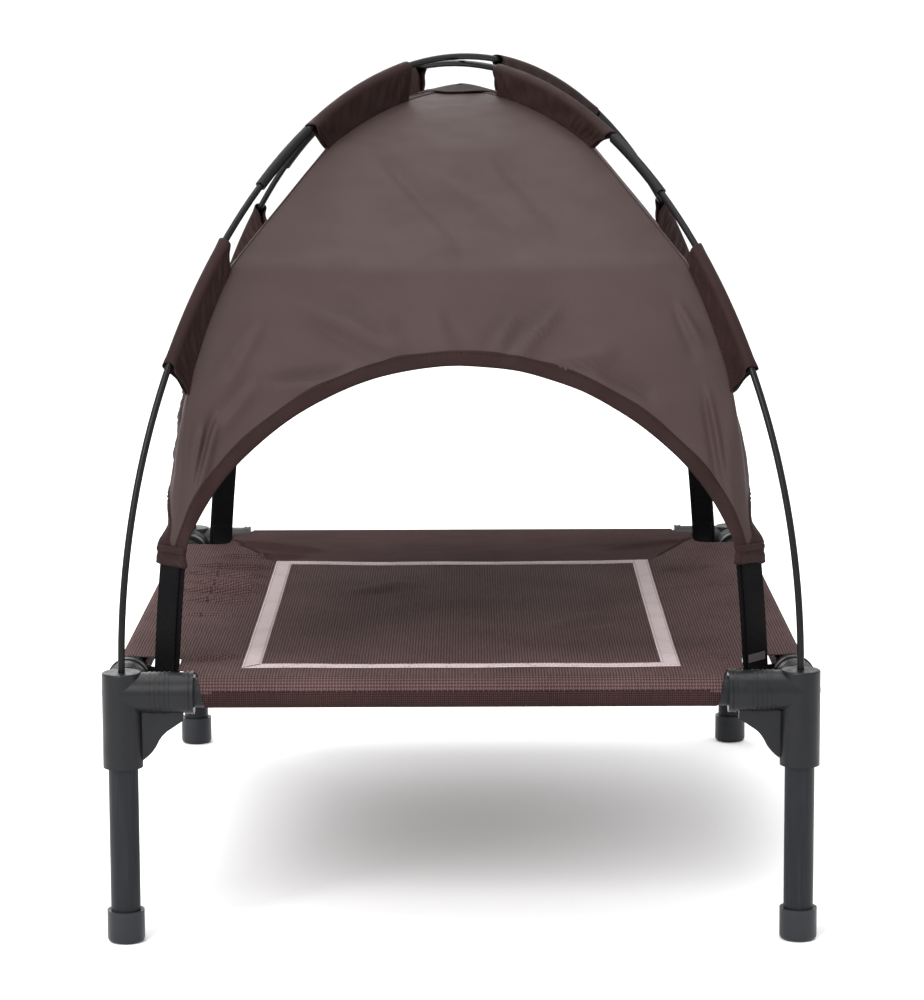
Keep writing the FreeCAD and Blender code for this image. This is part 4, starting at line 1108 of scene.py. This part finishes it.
def finish_frame():
    """Better materials on the frame's own nodes."""
    surfaces = {
        "joint": PLASTIC, "foot": FOOT_PLASTIC, "leg": TUBE, "rail": TUBE, "pole": POLE, "ferrule": FERRULE,
    }
    for node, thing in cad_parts.items():
        material = surfaces.get(node.split("_")[0])
        if material is not None:
            for slot in thing.material_slots:
                slot.material = material


LIGHTS_AIM = Vector((0, 0, 0.28))
FLOOR_HALF = 60.0                  # far enough for its edge to lie beyond the view
FOCAL_SHARE = 3.467                # focal length over the sensor's side


def area_light(name, place, size, power):
    lamp = bpy.data.lights.new(name, "AREA")
    lamp.shape = "SQUARE"
    lamp.size = size
    lamp.energy = power
    made = placed(name, lamp)
    made.location = place
    aim = LIGHTS_AIM - Vector(place)
    made.rotation_euler = aim.to_track_quat("-Z", "Y").to_euler()


def studio():
    floor_mesh = bpy.data.meshes.new("floor")
    corners = [(x * FLOOR_HALF, y * FLOOR_HALF, 0) for x, y in ((-1, -1), (1, -1), (1, 1), (-1, 1))]
    floor_mesh.from_pydata(corners, [], [(0, 1, 2, 3)])
    floor_mesh.materials.append(pale_floor())
    placed("floor", floor_mesh)
    area_light("key", (-1.5, -2.7, 2.1), 1.8, 120)
    area_light("top", (-0.2, 0.1, 2.9), 2.2, 58)
    area_light("fill", (2.3, -1.6, 1.3), 2.0, 8)
    area_light("back", (-1.2, 2.6, 1.9), 1.8, 30)
    world = bpy.data.worlds.new("studio")
    world.use_nodes = True
    world.node_tree.nodes["Background"].inputs["Color"].default_value = (1, 1, 1, 1)
    world.node_tree.nodes["Background"].inputs["Strength"].default_value = 1.2
    bpy.context.scene.world = world
    bpy.context.scene.view_settings.view_transform = "Standard"


def camera():
    """View of the front from a little above, through a long lens."""
    lens = bpy.data.cameras.new("camera")
    sensor_side = 36.0
    lens.sensor_width = sensor_side
    lens.lens = sensor_side * FOCAL_SHARE
    lens.clip_start, lens.clip_end = 0.1, 50
    view = placed("camera", lens)
    view.location = (0.006, -2.454, 0.613)
    pitch, yaw, roll = math.radians(-8.61), math.radians(0.13), math.radians(-0.24)
    level = Matrix.Rotation(yaw, 4, "Z") @ Matrix.Rotation(math.pi / 2 + pitch, 4, "X")
    turn = level @ Matrix.Rotation(roll, 4, "Z")
    view.matrix_world = Matrix.Translation(view.location) @ turn
    bpy.context.scene.camera = view


studio()
camera()
finish_frame()
make_canopy()
make_deck()
